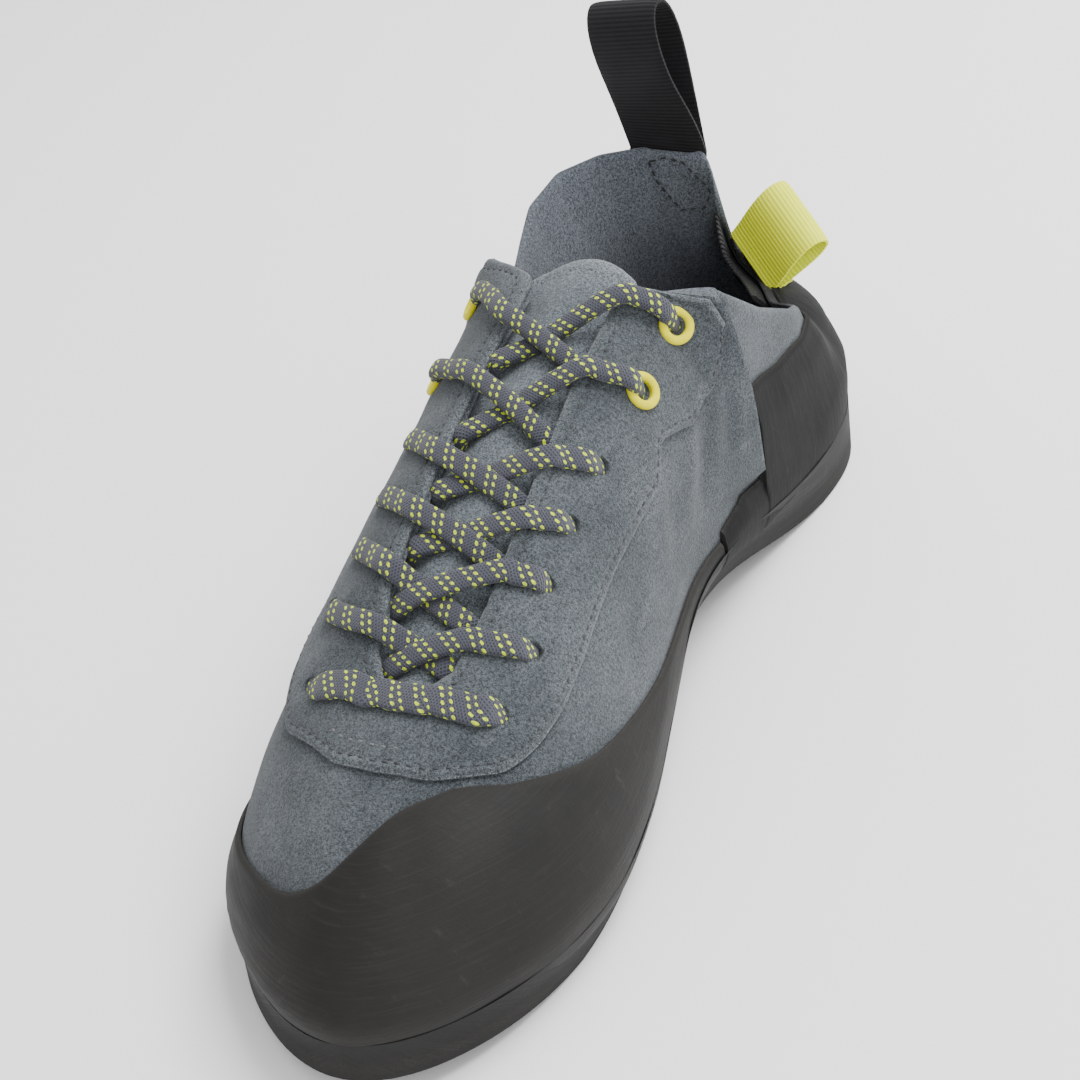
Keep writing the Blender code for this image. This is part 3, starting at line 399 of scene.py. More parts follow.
# %% [markdown]
# A few kinds of node come again and again: a range, a sum or product, an attribute, a noise, a stretched
# place and a bump. Each gets a short name here, so that a finish below reads like a recipe.

# %% Short names for common nodes
def ramp(tree, value, low, high, to_low=0.0, to_high=1.0):
    """A value carried from one range to another, held at both ends."""
    item = node(tree, "ShaderNodeMapRange", i0=value, i1=low, i2=high, i3=to_low, i4=to_high)
    return item.outputs[0]


def product(tree, first, second, way="MULTIPLY"):
    """Two values multiplied, or joined by another operation of the Math node."""
    return node(tree, "ShaderNodeMath", {"operation": way}, i0=first, i1=second).outputs[0]


def share_of(tree, name):
    """The value of an attribute of the mesh, such as wear."""
    return node(tree, "ShaderNodeAttribute", {"attribute_name": name}).outputs["Fac"]


def noise(tree, where, scale, detail=3.0, rough=0.55):
    """A cloudy value, with about so many clouds a metre."""
    item = node(tree, "ShaderNodeTexNoise", Vector=where, Scale=scale, Detail=detail, Roughness=rough)
    return item.outputs["Fac"]


def stretched(tree, where, scale):
    """A place multiplied by a scale for each direction."""
    return node(tree, "ShaderNodeMapping", i0=where, i3=scale).outputs[0]


def bump(tree, height, strength, distance, normal=None):
    """A normal tilted by a height, on top of another normal where one is given."""
    item = node(tree, "ShaderNodeBump", Height=height, Strength=strength, Distance=distance)
    if normal:
        tree.links.new(normal, item.inputs["Normal"])
    return item.outputs[0]


print("short names ready")

# %% [markdown]
# Every finish starts from Blender's own shader, with two sets of coordinates at hand, and ends by setting the
# shader's sockets. Both steps are the same each time, so they are written once.

# %% A new material and its sockets
def new_material(name):
    """An empty procedural material: its tree, its shader, object coordinates and cloth coordinates."""
    material = bpy.data.materials.new(name)
    material.use_nodes = True
    tree = material.node_tree
    shader = tree.nodes["Principled BSDF"]
    places = tree.nodes.new("ShaderNodeTexCoord")
    return material, tree, shader, places.outputs["Object"], places.outputs["UV"]


def plug(tree, shader, colour, roughness, normal):
    """Joins colour, roughness and normal to the shader, or sets a plain value on its own socket."""
    for key, value in (("Base Color", colour), ("Roughness", roughness), ("Normal", normal)):
        if isinstance(value, bpy.types.NodeSocket):
            tree.links.new(value, shader.inputs[key])
        elif value is not None:
            shader.inputs[key].default_value = value


print("materials can be made")

# %% [markdown]
# Suede is the flesh side of leather, buffed until short fibres stand up. It hardly shines, takes darker and
# lighter strokes where it was brushed, and goes pale where it rubs. Particle hairs could make the nap, but
# they would be millions, so noises of several sizes tint and lift the surface instead.

# %% Suede
# Painted shade for the lace holes, the tongue's tucked sides and the deep lining, and the real black of the
# heel's binding and lining.
PAINTED_SHADE_AND_BINDING = (0.006, 0.0065, 0.008)


def suede_material(name, dark, pale, worn, lining):
    """Noises of several sizes tint and lift the nap; attributes lighten worn ridges, paint shade into holes,
    tucked sides and the deep lining, and give the binding its black.
    """
    material, tree, shader, here = new_material(name)[:4]
    cloud = noise(tree, here, 45.0, 4.0)
    brushed = noise(tree, stretched(tree, here, (60.0, 22.0, 90.0)), 3.0, 5.0, 0.65)
    nap = noise(tree, here, 3400.0, 2.0, 0.6)
    fibre = noise(tree, here, 1500.0, 3.0, 0.7)
    colour = mix(tree, ramp(tree, cloud, 0.35, 0.68), dark, pale)
    colour = mix(tree, ramp(tree, brushed, 0.52, 0.80, 0.0, 0.32), colour, worn)
    colour = mix(tree, product(tree, share_of(tree, "wear"), ramp(tree, nap, 0.3, 0.65)), colour, worn)
    colour = mix(tree, share_of(tree, "inside"), colour, lining)
    # The dark share mixes in painted shade, and the real black of the heel's binding and lining.
    colour = mix(tree, share_of(tree, "dark"), colour, PAINTED_SHADE_AND_BINDING)
    speckle = ramp(tree, product(tree, nap, fibre, "ADD"), 0.80, 1.20, 0.38, 1.70)
    grey = node(tree, "ShaderNodeCombineColor", i0=speckle, i1=speckle, i2=speckle).outputs[0]
    colour = mix(tree, 1.0, colour, grey, "MULTIPLY")
    normal = bump(tree, fibre, 0.7, 0.0005)
    normal = bump(tree, nap, 0.8, 0.0003, normal)
    plug(tree, shader, colour, ramp(tree, fibre, 0.2, 0.8, 0.86, 0.98), normal)
    shader.inputs["Sheen Weight"].default_value = 0.12
    shader.inputs["Sheen Roughness"].default_value = 0.5
    shader.inputs["Specular IOR Level"].default_value = 0.25
    return material


SUEDE = suede_material(
    "suede", (0.041, 0.049, 0.056), (0.070, 0.080, 0.090), (0.135, 0.149, 0.162), (0.088, 0.099, 0.117))
STAY_SUEDE = suede_material(
    "eyestay_suede", (0.043, 0.051, 0.058), (0.073, 0.084, 0.094), (0.145, 0.159, 0.172), (0.05, 0.06, 0.07))
TONGUE_SUEDE = suede_material(
    "tongue_suede", (0.071, 0.084, 0.096), (0.122, 0.139, 0.155), (0.20, 0.22, 0.235), (0.02, 0.025, 0.03))
print("three suedes mixed")

# %% [markdown]
# Climbing rubber is a sheet, ground to shape after it is glued on. The grinding leaves fine parallel
# streaks and a pale, dry edge, and the rock adds scuffs. The streaks are far finer than any mesh, so they are
# a noise that is drawn out along the cloth coordinates, in colour, gloss and bump alike.

# %% Rubber
SCUFF, DRY_EDGE, RUBBER_DARK = (0.045, 0.042, 0.038), (0.055, 0.053, 0.050), (0.006, 0.006, 0.006)


def rubber_material(name, dark, pale, streak, gloss, shine=0.26):
    """Noise drawn out along the cloth coordinates makes the sanding streaks in colour, bump and roughness."""
    material, tree, shader, here, cloth = new_material(name)
    lines = noise(tree, stretched(tree, cloth, streak), 1.0, 4.0, 0.65)
    cloud = noise(tree, here, 30.0, 5.0, 0.6)
    scuff = noise(tree, stretched(tree, here, (90.0, 260.0, 140.0)), 1.0, 6.0, 0.75)
    grit = noise(tree, here, 1800.0, 2.0, 0.7)
    colour = mix(tree, ramp(tree, cloud, 0.35, 0.7), dark, pale)
    colour = mix(tree, ramp(tree, lines, 0.5, 0.8, 0.0, 0.5), colour, tuple(2.6 * v for v in pale))
    colour = mix(tree, ramp(tree, scuff, 0.60, 0.78, 0.0, 0.45), colour, SCUFF)
    worn = product(tree, share_of(tree, "wear"), ramp(tree, grit, 0.2, 0.7, 0.4, 1.0))
    colour = mix(tree, worn, colour, DRY_EDGE)
    colour = mix(tree, share_of(tree, "dark"), colour, RUBBER_DARK)
    normal = bump(tree, lines, 0.35, 0.0003)
    normal = bump(tree, scuff, 0.25, 0.0005, normal)
    normal = bump(tree, grit, 0.3, 0.00012, normal)
    rough = product(tree, ramp(tree, lines, 0.3, 0.8, gloss, gloss + 0.2), share_of(tree, "wear"), "ADD")
    plug(tree, shader, colour, product(tree, rough, 0.95, "MINIMUM"), normal)
    shader.inputs["Specular IOR Level"].default_value = shine
    return material


TOE_RUBBER = rubber_material(
    "toe_rubber", (0.0062, 0.0062, 0.0060), (0.0118, 0.0110, 0.0097), (60.0, 1500.0, 1.0), 0.56)
HEEL_RUBBER = rubber_material(
    "heel_rubber", (0.0058, 0.0060, 0.0064), (0.0102, 0.0104, 0.0108), (1200.0, 60.0, 1.0), 0.58, 0.10)
SOLE_RUBBER = rubber_material(
    "sole_rubber", (0.0080, 0.0080, 0.0080), (0.0135, 0.0133, 0.0130), (40.0, 1800.0, 1.0), 0.62)
print("three rubbers mixed")

# %% [markdown]
# Woven things repeat: webbing has rows of picks across its width and ends along it. Each yarn could be a
# tube, but seen from a step away sines of the cloth coordinates draw the same rows for nothing.

# %% Webbing
def waves(tree, cloth, along, across, phase=0.0):
    """A sine from 0 to 1 of the cloth coordinates, with so many turns a metre along and across."""
    parts = node(tree, "ShaderNodeSeparateXYZ", i0=cloth)
    angle = product(tree, product(tree, parts.outputs[0], along * 2 * math.pi),
                    product(tree, parts.outputs[1], across * 2 * math.pi), "ADD")
    angle = product(tree, angle, phase, "ADD")
    return ramp(tree, product(tree, angle, 0.0, "SINE"), -1.0, 1.0)


def webbing_material(name, dark, pale, glow):
    """Picks across the strap times ends along it, in colour and height, with fuzz over them."""
    material, tree, shader, here, cloth = new_material(name)
    picks = waves(tree, cloth, 900.0, 0.0)
    ends = waves(tree, cloth, 380.0, 1150.0)
    weave = product(tree, picks, ramp(tree, ends, 0.0, 1.0, 0.80, 1.0))
    fuzz = noise(tree, here, 900.0, 4.0, 0.7)
    cloud = noise(tree, here, 70.0, 3.0)
    colour = mix(tree, ramp(tree, weave, 0.05, 0.7), dark, pale)
    colour = mix(tree, ramp(tree, cloud, 0.45, 0.75, 0.0, 0.35), colour, glow)
    colour = mix(tree, ramp(tree, fuzz, 0.55, 0.8, 0.0, 0.3), colour, glow)
    normal = bump(tree, weave, 0.3, 0.0003)
    normal = bump(tree, fuzz, 0.4, 0.0002, normal)
    plug(tree, shader, colour, 0.85, normal)
    shader.inputs["Sheen Weight"].default_value = 0.05
    shader.inputs["Specular IOR Level"].default_value = 0.2
    return material


BLACK_WEB = webbing_material(
    "black_webbing", (0.0052, 0.0047, 0.0056), (0.0125, 0.0112, 0.0135), (0.020, 0.018, 0.0215))
LIME_WEB = webbing_material(
    "lime_webbing", (0.60, 0.68, 0.015), (0.84, 0.90, 0.03), (0.90, 0.94, 0.09))
print("two webbings woven")

# %% [markdown]
# The lace is braided in two slanted families of yarn. A few of the yarns are lime, so their flecks come in
# pairs of slanted rows, with every third row left out. The flecks are charted on the cloth coordinates: the
# fraction of a row number is the place inside one fleck's cell.

# %% Lace
FLECK_PITCH_ACROSS, FLECK_PITCH_ALONG, FLECK_SLANT = 0.00155, 0.00187, 0.42
FLECK_LIME = (0.56, 0.70, 0.004)


def centred_square(tree, value):
    """The square of a value's distance from the middle of its unit cell."""
    return product(tree, product(tree, product(tree, value, 0.0, "FRACT"), -0.5, "ADD"), 2.0, "POWER")


def lace_material():
    """A braid of two slanted families of waves; flecks sit on a slanted lattice, in rows two by two."""
    material, tree, shader, here, cloth = new_material("lace_braid")
    braid = product(tree, waves(tree, cloth, 1400.0, 800.0), waves(tree, cloth, 1400.0, -800.0), "MAXIMUM")
    fuzz = noise(tree, here, 1500.0, 3.0, 0.7)
    colour = mix(tree, ramp(tree, braid, 0.4, 1.0), (0.022, 0.024, 0.034), (0.050, 0.053, 0.073))
    colour = mix(tree, ramp(tree, fuzz, 0.5, 0.8, 0.0, 0.4), colour, (0.080, 0.085, 0.107))
    parts = node(tree, "ShaderNodeSeparateXYZ", i0=cloth)
    row = product(tree, parts.outputs[1], 1 / FLECK_PITCH_ACROSS)
    slant = product(tree, row, FLECK_SLANT)
    along = product(tree, product(tree, parts.outputs[0], 1 / FLECK_PITCH_ALONG), slant, "ADD")
    offset = product(tree, product(tree, along, 0.0, "FLOOR"), 0.5)
    row = product(tree, row, offset, "ADD")
    near = product(tree, product(tree, centred_square(tree, row), 0.60), centred_square(tree, along), "ADD")
    pair = product(tree, product(tree, along, 0.0, "FLOOR"), 3.0, "FLOORED_MODULO")
    kept = ramp(tree, pair, 1.4, 1.6, 1.0, 0.0)
    fleck = product(tree, ramp(tree, near, 0.038, 0.058, 1.0, 0.0), kept)
    colour = mix(tree, fleck, colour, FLECK_LIME)
    normal = bump(tree, braid, 0.8, 0.0003)
    normal = bump(tree, fuzz, 0.4, 0.00015, normal)
    plug(tree, shader, colour, 0.82, normal)
    shader.inputs["Sheen Weight"].default_value = 0.12
    return material


LACE = lace_material()
print("lace braided")

# %% [markdown]
# Elastic is knitted with ribs that let it stretch. Thread, eyelet paint and sock lining are plain: one noise
# varies tint and gloss a little, because nothing real is perfectly even.

# %% Elastic, thread, paint and sock
def elastic_material():
    """Ribs along the stretch panel, with painted shade darkening their furrows."""
    material, tree, shader, _, cloth = new_material("stretch_rib")
    ribs = waves(tree, cloth, 900.0, 0.0)
    knit = waves(tree, cloth, 300.0, 1100.0)
    # The ribs' colour is painted shade: darker where the bump sinks into the furrows.
    colour = mix(tree, ribs, (0.003, 0.003, 0.004), (0.018, 0.018, 0.021))
    normal = bump(tree, ribs, 1.0, 0.0006)
    normal = bump(tree, knit, 0.4, 0.0002, normal)
    plug(tree, shader, colour, 0.8, normal)
    return material


def plain_material(name, dark, pale, roughness, scale, shine=0.5, strength=0.3):
    """A plain finish with a little variety of tint, gloss and height from one noise."""
    material, tree, shader, here = new_material(name)[:4]
    cloud = noise(tree, here, scale, 5.0, 0.65)
    fine = noise(tree, here, scale * 9, 3.0, 0.6)
    colour = mix(tree, ramp(tree, cloud, 0.35, 0.7), dark, pale)
    rough = ramp(tree, cloud, 0.3, 0.7, roughness, roughness + 0.15)
    plug(tree, shader, colour, rough, bump(tree, fine, strength, 0.0002))
    shader.inputs["Specular IOR Level"].default_value = shine
    return material


RIBBED = elastic_material()
THREAD = plain_material("grey_thread", (0.016, 0.017, 0.021), (0.060, 0.062, 0.070), 0.6, 500.0)
PALE_THREAD = plain_material("pale_thread", (0.10, 0.10, 0.11), (0.17, 0.16, 0.17), 0.6, 500.0)
DARK_THREAD = plain_material("dark_thread", (0.006, 0.006, 0.007), (0.014, 0.014, 0.016), 0.7, 800.0)
PAINT = plain_material("eyelet_paint", (0.64, 0.58, 0.002), (0.76, 0.70, 0.003), 0.42, 260.0, 0.18)
SOCK = plain_material("sock_lining", (0.008, 0.009, 0.012), (0.016, 0.018, 0.023), 0.9, 220.0, 0.2, 0.7)
print(len(bpy.data.materials), "materials in all")

# %% [markdown]
# The upper
#
# The upper is cut from thin suede and pulled over the last, so it has soft creases where the foot bends it.
# Cloth simulation would crease it by chance. Here each crease is placed where the real shoe has one,
# as a line of stations with a width and a depth: below zero it is a trough, above zero a ridge.

# %% Creases
CREASES = (
    # half width in mm, height in mm, then stations and heights along the crease
    (3.0, -0.9, ((5.35, 0.30), (5.62, 0.42), (5.80, 0.52))),
    (2.6, 0.7, ((5.15, 0.34), (5.45, 0.46), (5.66, 0.60))),
    (3.2, -0.8, ((5.85, 0.32), (6.02, 0.46), (6.10, 0.60))),
    (3.0, 0.6, ((6.05, 0.36), (6.16, 0.52), (6.20, 0.70))),
    (3.5, -0.6, ((4.75, 0.30), (4.95, 0.40), (5.05, 0.48))),
    (3.5, -0.5, ((3.7, 0.36), (4.1, 0.44), (4.5, 0.48))),
    (3.0, -0.7, ((2.3, 0.52), (2.7, 0.55), (3.2, 0.53))),
    (3.5, 0.5, ((1.9, 0.62), (2.4, 0.575), (3.0, 0.56))),
    (4.0, -0.5, ((18.2, 0.50), (18.8, 0.62), (19.5, 0.72))),
    (4.0, -0.6, ((14.6, 0.35), (14.9, 0.50), (15.1, 0.66))),
    (4.0, -0.6, ((15.6, 0.34), (16.0, 0.46), (16.3, 0.60))),
    (4.5, -0.7, ((11.9, 0.50), (12.2, 0.66), (12.3, 0.85))),
    (4.5, 0.6, ((12.9, 0.45), (13.0, 0.65), (13.1, 0.85))),
    (4.0, -0.6, ((7.0, 0.75), (7.2, 0.85), (7.25, 0.95))),
)
print(len(CREASES), "creases")

# %% [markdown]
# Seven holes a side take the lace. Each strand comes up under the throat's edge and crosses the opposite edge
# on its way to the next hole, so the tables give the holes and the stations of both crossings.

# %% Lace holes and crossings
LACE_PLACES = np.array([
    # inner station, inner up, outer station, outer up
    (2.25, 0.770, 17.75, 0.750), (3.00, 0.770, 16.90, 0.730), (3.51, 0.800, 16.40, 0.750),
    (4.04, 0.787, 15.95, 0.760), (4.54, 0.770, 15.45, 0.760), (5.20, 0.750, 14.90, 0.760),
    (5.82, 0.770, 14.20, 0.770),
])
LACE_EDGES = np.array([
    # inner start, outer start, inner crossing, outer crossing
    (2.00, 18.50, 2.39, 17.72), (2.61, 17.42, 3.24, 16.96), (3.34, 16.72, 3.73, 16.40),
    (3.90, 16.17, 4.28, 15.85), (4.47, 15.64, 5.03, 15.13), (5.11, 14.95, 5.58, 14.65),
])
BAR_LINE = np.array([
    # station and height of the bar between the two lowest holes
    (-2.25, 0.750), (-1.83, 0.863), (-1.39, 0.924), (-0.58, 0.965), (0.40, 0.965), (1.18, 0.944),
    (1.69, 0.889), (2.04, 0.828), (2.25, 0.770),
])
print(2 * len(LACE_PLACES), "lace holes,", len(LACE_EDGES), "crossings and a bar")

# %% [markdown]
# Where a quarter laps the heel rubber, its wall stands out by a step. The step, a line on the skin and the
# distance to such a line are what the creases, seams and stitches below are made from.

# %% The quarters' step and lines on the skin
QUARTER_START, QUARTER_EDGE, QUARTER_LOW = 5.50, 6.33, (0.235, 0.270)


def quarter_step(at, up):
    """How far the wall stands out where each quarter laps the heel rubber, as in the CAD upper."""
    along = np.minimum(np.mod(at, TURN), TURN - np.mod(at, TURN))
    ramped = np.clip((along - QUARTER_START) / (QUARTER_EDGE - QUARTER_START), 0, 1)
    ramped = ramped * (along < QUARTER_EDGE + 1e-6)
    low, high = QUARTER_LOW
    return QUARTER_STEP * ramped * np.clip((up - low) / (high - low), 0, 1)


def line_points(line, spacing=0.0012):
    """Points on the skin along a line of stations and heights, equally far apart."""
    line = np.asarray(line, float)
    fine = np.linspace(0, len(line) - 1, 400)
    at = np.interp(fine, np.arange(len(line)), line[:, 0])
    up = np.interp(fine, np.arange(len(line)), line[:, 1])
    points = last_skin(at, up)
    run = run_along(points)
    places = np.arange(0, run[-1], spacing)
    return np.interp(places, run, at), np.interp(places, run, up), run[-1]


def distance_to(points, line):
    """Each point's distance to the nearest of a line's points, and that point's share of the way along."""
    flat = points.reshape(-1, 3)
    nearest = np.full(len(flat), 1.0)
    share = np.zeros(len(flat))
    for number, place in enumerate(line):
        away = np.linalg.norm(flat - place, axis=1)
        closer = away < nearest
        nearest = np.where(closer, away, nearest)
        share = np.where(closer, number / max(len(line) - 1, 1), share)
    return nearest.reshape(points.shape[:-1]), share.reshape(points.shape[:-1])


first_crease = line_points(CREASES[0][2])
print("the first crease is %.0f mm long" % (first_crease[2] * 1000))

# %% [markdown]
# All creases and holes are heights over the skin, so they add up. Each crease is a bell across its line. A
# hole is a pit with steep walls, with a shallow dish round it where the lace pulls. A height can't tear the
# mesh, as a boolean cut might, and every layer of leather sinks alike.

# %% Heights of creases and holes
RIPPLE = 0.00012
HOLE_RADIUS, HOLE_DEPTH = 0.0016, 0.0030


def crease_height(at, up):
    """The sum of all creases: a bell across each line, tapered to nothing at both of its ends."""
    points = last_skin(at, up)
    height = np.zeros(at.shape)
    for half_width, rise, line in CREASES:
        places = line_points(line, 0.002)
        near, share = distance_to(points, last_skin(places[0], places[1]))
        taper = np.sin(math.pi * np.clip(share, 0.02, 0.98)) ** 0.7
        height += rise / 1000 * np.exp(-(near / (half_width / 1000)) ** 2) * taper
    ripple = np.sin(at * 9.1 + up * 7.0) * np.sin(up * 15.0 - at * 3.3) * RIPPLE
    return height + ripple * smooth(0.2, 0.35, up)


def hole_depth(at, up):
    """How deep the lace holes sink a surface, as a pit in a shallow dish, and how much painted shade darkens
    each place.
    """
    points = last_skin(at, up)
    pit = np.zeros(at.shape)
    stations = np.concatenate([LACE_PLACES[:, 0:2], LACE_PLACES[:, 2:4]])
    for station, rise in stations:
        near = np.linalg.norm(points - last_skin(station, rise), axis=-1)
        pit = np.maximum(pit, 1 - smooth(HOLE_RADIUS * 0.75, HOLE_RADIUS * 1.25, near))
        pit = np.maximum(pit, 0.12 * (1 - smooth(HOLE_RADIUS, HOLE_RADIUS * 3.0, near)))
    # The second value is painted shade, darkest in the pit where the hole's walls would shade it.
    return pit * HOLE_DEPTH, smooth(0.3, 0.9, pit)


sample_creases = crease_height(*np.meshgrid(np.arange(0, TURN, 0.2), np.linspace(0.3, 0.9, 20)))
print("creases go from %.1f to %.1f mm" % (sample_creases.min() * 1000, sample_creases.max() * 1000))

# %% [markdown]
# The upper's shell has two faces. The outer one carries step, creases and holes, and the inner one follows at
# the wall's distance. Both turn in a little at the top, so the cut edge is round. Behind the heel a dark
# binding runs along the edge and the lining is black; lower down in the shoe the lining is darkened with
# painted shade. The attributes say so.

# %% The upper's shell
def columns_between(start, end, step, extra=()):
    """Stations from start to end, closer round the quarters' free edges."""
    edges = [QUARTER_EDGE + d for d in (-0.03, -0.015, -0.004, 0.0, 0.004, 0.015)]
    edges += [TURN - v for v in edges]
    fine = np.concatenate([np.arange(start, end, step), [end], edges, [v - TURN for v in edges], list(extra)])
    return np.unique(np.round(fine[(fine >= start) & (fine <= end)], 5))


def upper_shares(at, up, away, crease, dark):
    """Worn and dark shares of both faces: a bell fades wear from the edge, soft steps bound the dark parts:
    painted shade low in the lining and in the holes, and the real black of binding and heel lining.
    """
    wear = np.exp(-away / 0.0012) * 0.5 + np.clip(crease / 0.0008, 0, 1) * 0.35
    cut = np.abs(np.minimum(at, TURN - at) - QUARTER_EDGE) < 0.02
    bound = smooth(7.9, 8.2, at) * (1 - smooth(9.95, 10.15, at)) * smooth(0.86, 0.90, up)
    # The black lining behind the heel is its own colour; the darkening low in the shoe is painted shade.
    heel_black_and_low_shade = np.maximum(smooth(7.2, 8.2, at) * (1 - smooth(10.2, 10.9, at)), 1 - smooth(0.42, 0.80, up))
    lip = np.exp(-((at - 10.35) / 0.35) ** 2) * smooth(0.86, 0.98, up)
    outside = {"wear": wear + cut * 0.3 * (up > 0.27) + 0.4 * lip, "dark": np.maximum(dark, bound)}
    inside = {"wear": 0.5 * lip, "dark": np.maximum(0.50 * heel_black_and_low_shade * (1 - 0.85 * lip), bound)}
    return outside, inside


def make_upper():
    """A shell over the whole skin: creased and stepped outside, plain lining inside, rounded at its edge."""
    at = columns_between(0.0, TURN - 0.045, 0.045)[:, None]
    up = np.unique(np.concatenate([np.linspace(0, 1, 44), [0.985, 0.993, 0.998], QUARTER_LOW]))[None, :]
    at, up = np.broadcast_arrays(at, up)
    # dark is painted shade in the lace holes' pits.
    sunk, dark = hole_depth(at, up)
    per_up = np.linalg.norm(last_skin(at[:, :1], 1.0) - last_skin(at[:, :1], 0.9), axis=-1) / 0.1
    away = (1 - up) * per_up
    rounding = UPPER_WALL * 0.35 * (1 - smooth(0.0, 0.0014, away))
    crease = crease_height(at, up) * smooth(0.0, 0.01, away + 0.004)
    outer = offset_skin(at, up, quarter_step(at, up) + crease - sunk - rounding)
    inner = offset_skin(at, up, -UPPER_WALL + crease * 0.8 - sunk + rounding)
    outside, inside = upper_shares(at, up, away, crease, dark)
    item = shell("upper_suede", outer, inner, SUEDE, cloth_place(outer), outside, True, inside)
    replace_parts(item, "upper")
    return item


upper = make_upper()
print("upper has", len(upper.data.polygons), "faces")

# %% [markdown]
# The eyestay is a second layer of suede, sewn on round the throat to take the pull of the lace. It could be
# projected on the upper and would then need its own shrinkwrap. Both layers know the last, so this one is the
# same skin, further out, between its lower edge and the throat. The table gives that edge.

# %% The eyestay's edge
EYESTAY_EDGE = np.array([
    # station, height
    (-6.28, 0.830), (-6.10, 0.640), (-5.85, 0.540), (-5.50, 0.515), (-5.09, 0.600), (-4.85, 0.540),
    (-4.00, 0.560), (-3.20, 0.580), (-2.55, 0.615), (-2.15, 0.640), (-1.70, 0.720), (-1.20, 0.765),
    (-0.37, 0.800), (0.37, 0.797), (1.10, 0.750), (1.77, 0.689), (2.20, 0.627), (2.66, 0.610),
    (3.44, 0.586), (4.00, 0.570), (4.85, 0.530), (5.09, 0.600), (5.50, 0.515), (5.85, 0.540),
    (6.10, 0.640), (6.28, 0.830),
])
TOE_END_REACH, TOE_END_SOFTNESS, CORNER_SOFTNESS = 2.6, 0.25, 0.05


def soft_line(knots, at, width=CORNER_SOFTNESS):
    """A line of stations and heights with its corners rounded by a mean of five places."""
    knots = np.asarray(knots, float)
    steps = (-1.0, -0.5, 0.0, 0.5, 1.0)
    return sum(np.interp(at + step * width, knots[:, 0], knots[:, 1]) for step in steps) / len(steps)


def eyestay_low(at):
    """The eyestay's lower edge, rounded more round its toe end than at its corners."""
    near_toe = np.abs(at) < TOE_END_REACH
    return soft_line(EYESTAY_EDGE, at, np.where(near_toe, TOE_END_SOFTNESS, CORNER_SOFTNESS))


print("the eyestay's toe end starts at a height of %.2f" % eyestay_low(np.array([0.0]))[0])

# %% [markdown]
# At its edges the eyestay thins to a cut, where pale fibres show, and each row of stitches pulls a furrow.
# A bell across the distance to the edge gives the furrow its place, and the stitches below use the same
# distance, so they lie in it.

# %% The eyestay
STITCH_INSET, THROAT_STITCH_INSET, FURROW_REACH = 0.0021, 0.0030, 0.0006
STATION_LENGTH = 0.03


def make_eyestay():
    """A band from its lower edge to the throat, rounded at the cut edges and furrowed under the stitches."""
    columns = columns_between(EYESTAY_EDGE[0, 0], EYESTAY_EDGE[-1, 0], 0.02)
    low = eyestay_low(columns)[:, None]
    share = np.concatenate([[0, 0.004, 0.012, 0.024], np.linspace(0.04, 0.97, 40), [0.985, 0.994, 1.0]])
    up = low + (1 - low) * share[None, :]
    at = np.broadcast_to(columns[:, None], up.shape)
    skin = last_skin(at, up)
    run = run_up(skin)
    away = np.minimum(run, run[:, -1:] - run)
    ends = np.minimum(columns - columns[0], columns[-1] - columns)[:, None] * STATION_LENGTH
    away = np.minimum(away, ends)
    sunk, dark = hole_depth(at, up)
    furrow = 0.00028 * np.exp(-((run - STITCH_INSET) / FURROW_REACH) ** 2)
    furrow += 0.00022 * np.exp(-((run[:, -1:] - run - THROAT_STITCH_INSET) / FURROW_REACH) ** 2)
    thick = EYESTAY * (0.42 + 0.58 * smooth(0.0, 0.0011, away))
    crease = crease_height(at, up) * 0.9
    seat = quarter_step(at, up) + GAP
    outer = offset_skin(at, up, seat + thick - furrow - sunk + crease)
    inner = offset_skin(at, up, seat - sunk + crease - 0.0001)
    wear = 0.75 * np.exp(-away / 0.0007) + 0.15 * np.exp(-((run - STITCH_INSET) / 0.0009) ** 2)
    # The dark share is painted shade in the lace holes' pits.
    shares = {"wear": wear, "dark": dark}
    item = shell("eyestay_suede", outer, inner, STAY_SUEDE, cloth_place(outer), shares)
    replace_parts(item, "eyestay")
    return item


eyestay = make_eyestay()
print("eyestay has", len(eyestay.data.polygons), "faces")

# %% [markdown]
# The rands are sheets of rubber, wrapped up from the sole: one round the toe, with a patch over the big toe,
# and one round the heel. They meet at the waist. Each table gives the top edge, and an upright step in it,
# at the quarter's free edge, stays sharp while the rest is rounded.

# %% The rands' edges
TOE_RAND = np.array([
    # station, height
    (-5.70, 0.230), (-3.00, 0.240), (-2.30, 0.290), (-1.60, 0.370), (-1.21, 0.425), (-0.72, 0.455),
    (-0.28, 0.560), (0.20, 0.685), (1.00, 0.725), (1.69, 0.680), (2.54, 0.520), (3.00, 0.430),
    (3.56, 0.320), (3.90, 0.255), (4.40, 0.180), (5.60, 0.160),
])
HEEL_RAND = np.array([
    # station, height
    (5.60, 0.160), (5.75, 0.228), (6.36, 0.230), (6.40, 0.530), (7.00, 0.690), (7.50, 0.770),
    (8.00, 0.850), (8.35, 0.965), (9.85, 0.975), (10.05, 0.900), (10.33, 0.640), (10.67, 0.480),
    (11.00, 0.420), (12.00, 0.360), (13.60, 0.340), (13.64, 0.230), (14.30, 0.230),
])
UPRIGHT_STEPS = (6.38, 13.62)
SEAM_GAP = 0.015
print("toe rand from station %.1f to %.1f, heel rand from %.1f to %.1f"
      % (TOE_RAND[0, 0], TOE_RAND[-1, 0], HEEL_RAND[0, 0], HEEL_RAND[-1, 0]))

# %% [markdown]
# A band of rubber could be an extruded curve, but it has to hug the last. So it is the skin again, up to the
# table's edge, with a thickness that falls towards the top, where the sheet is ground thin, or skived. Its
# last millimetre is rounded and pale.

# %% The rands
CUT_EDGE_REACH, LUMPS = 0.0007, 0.00012


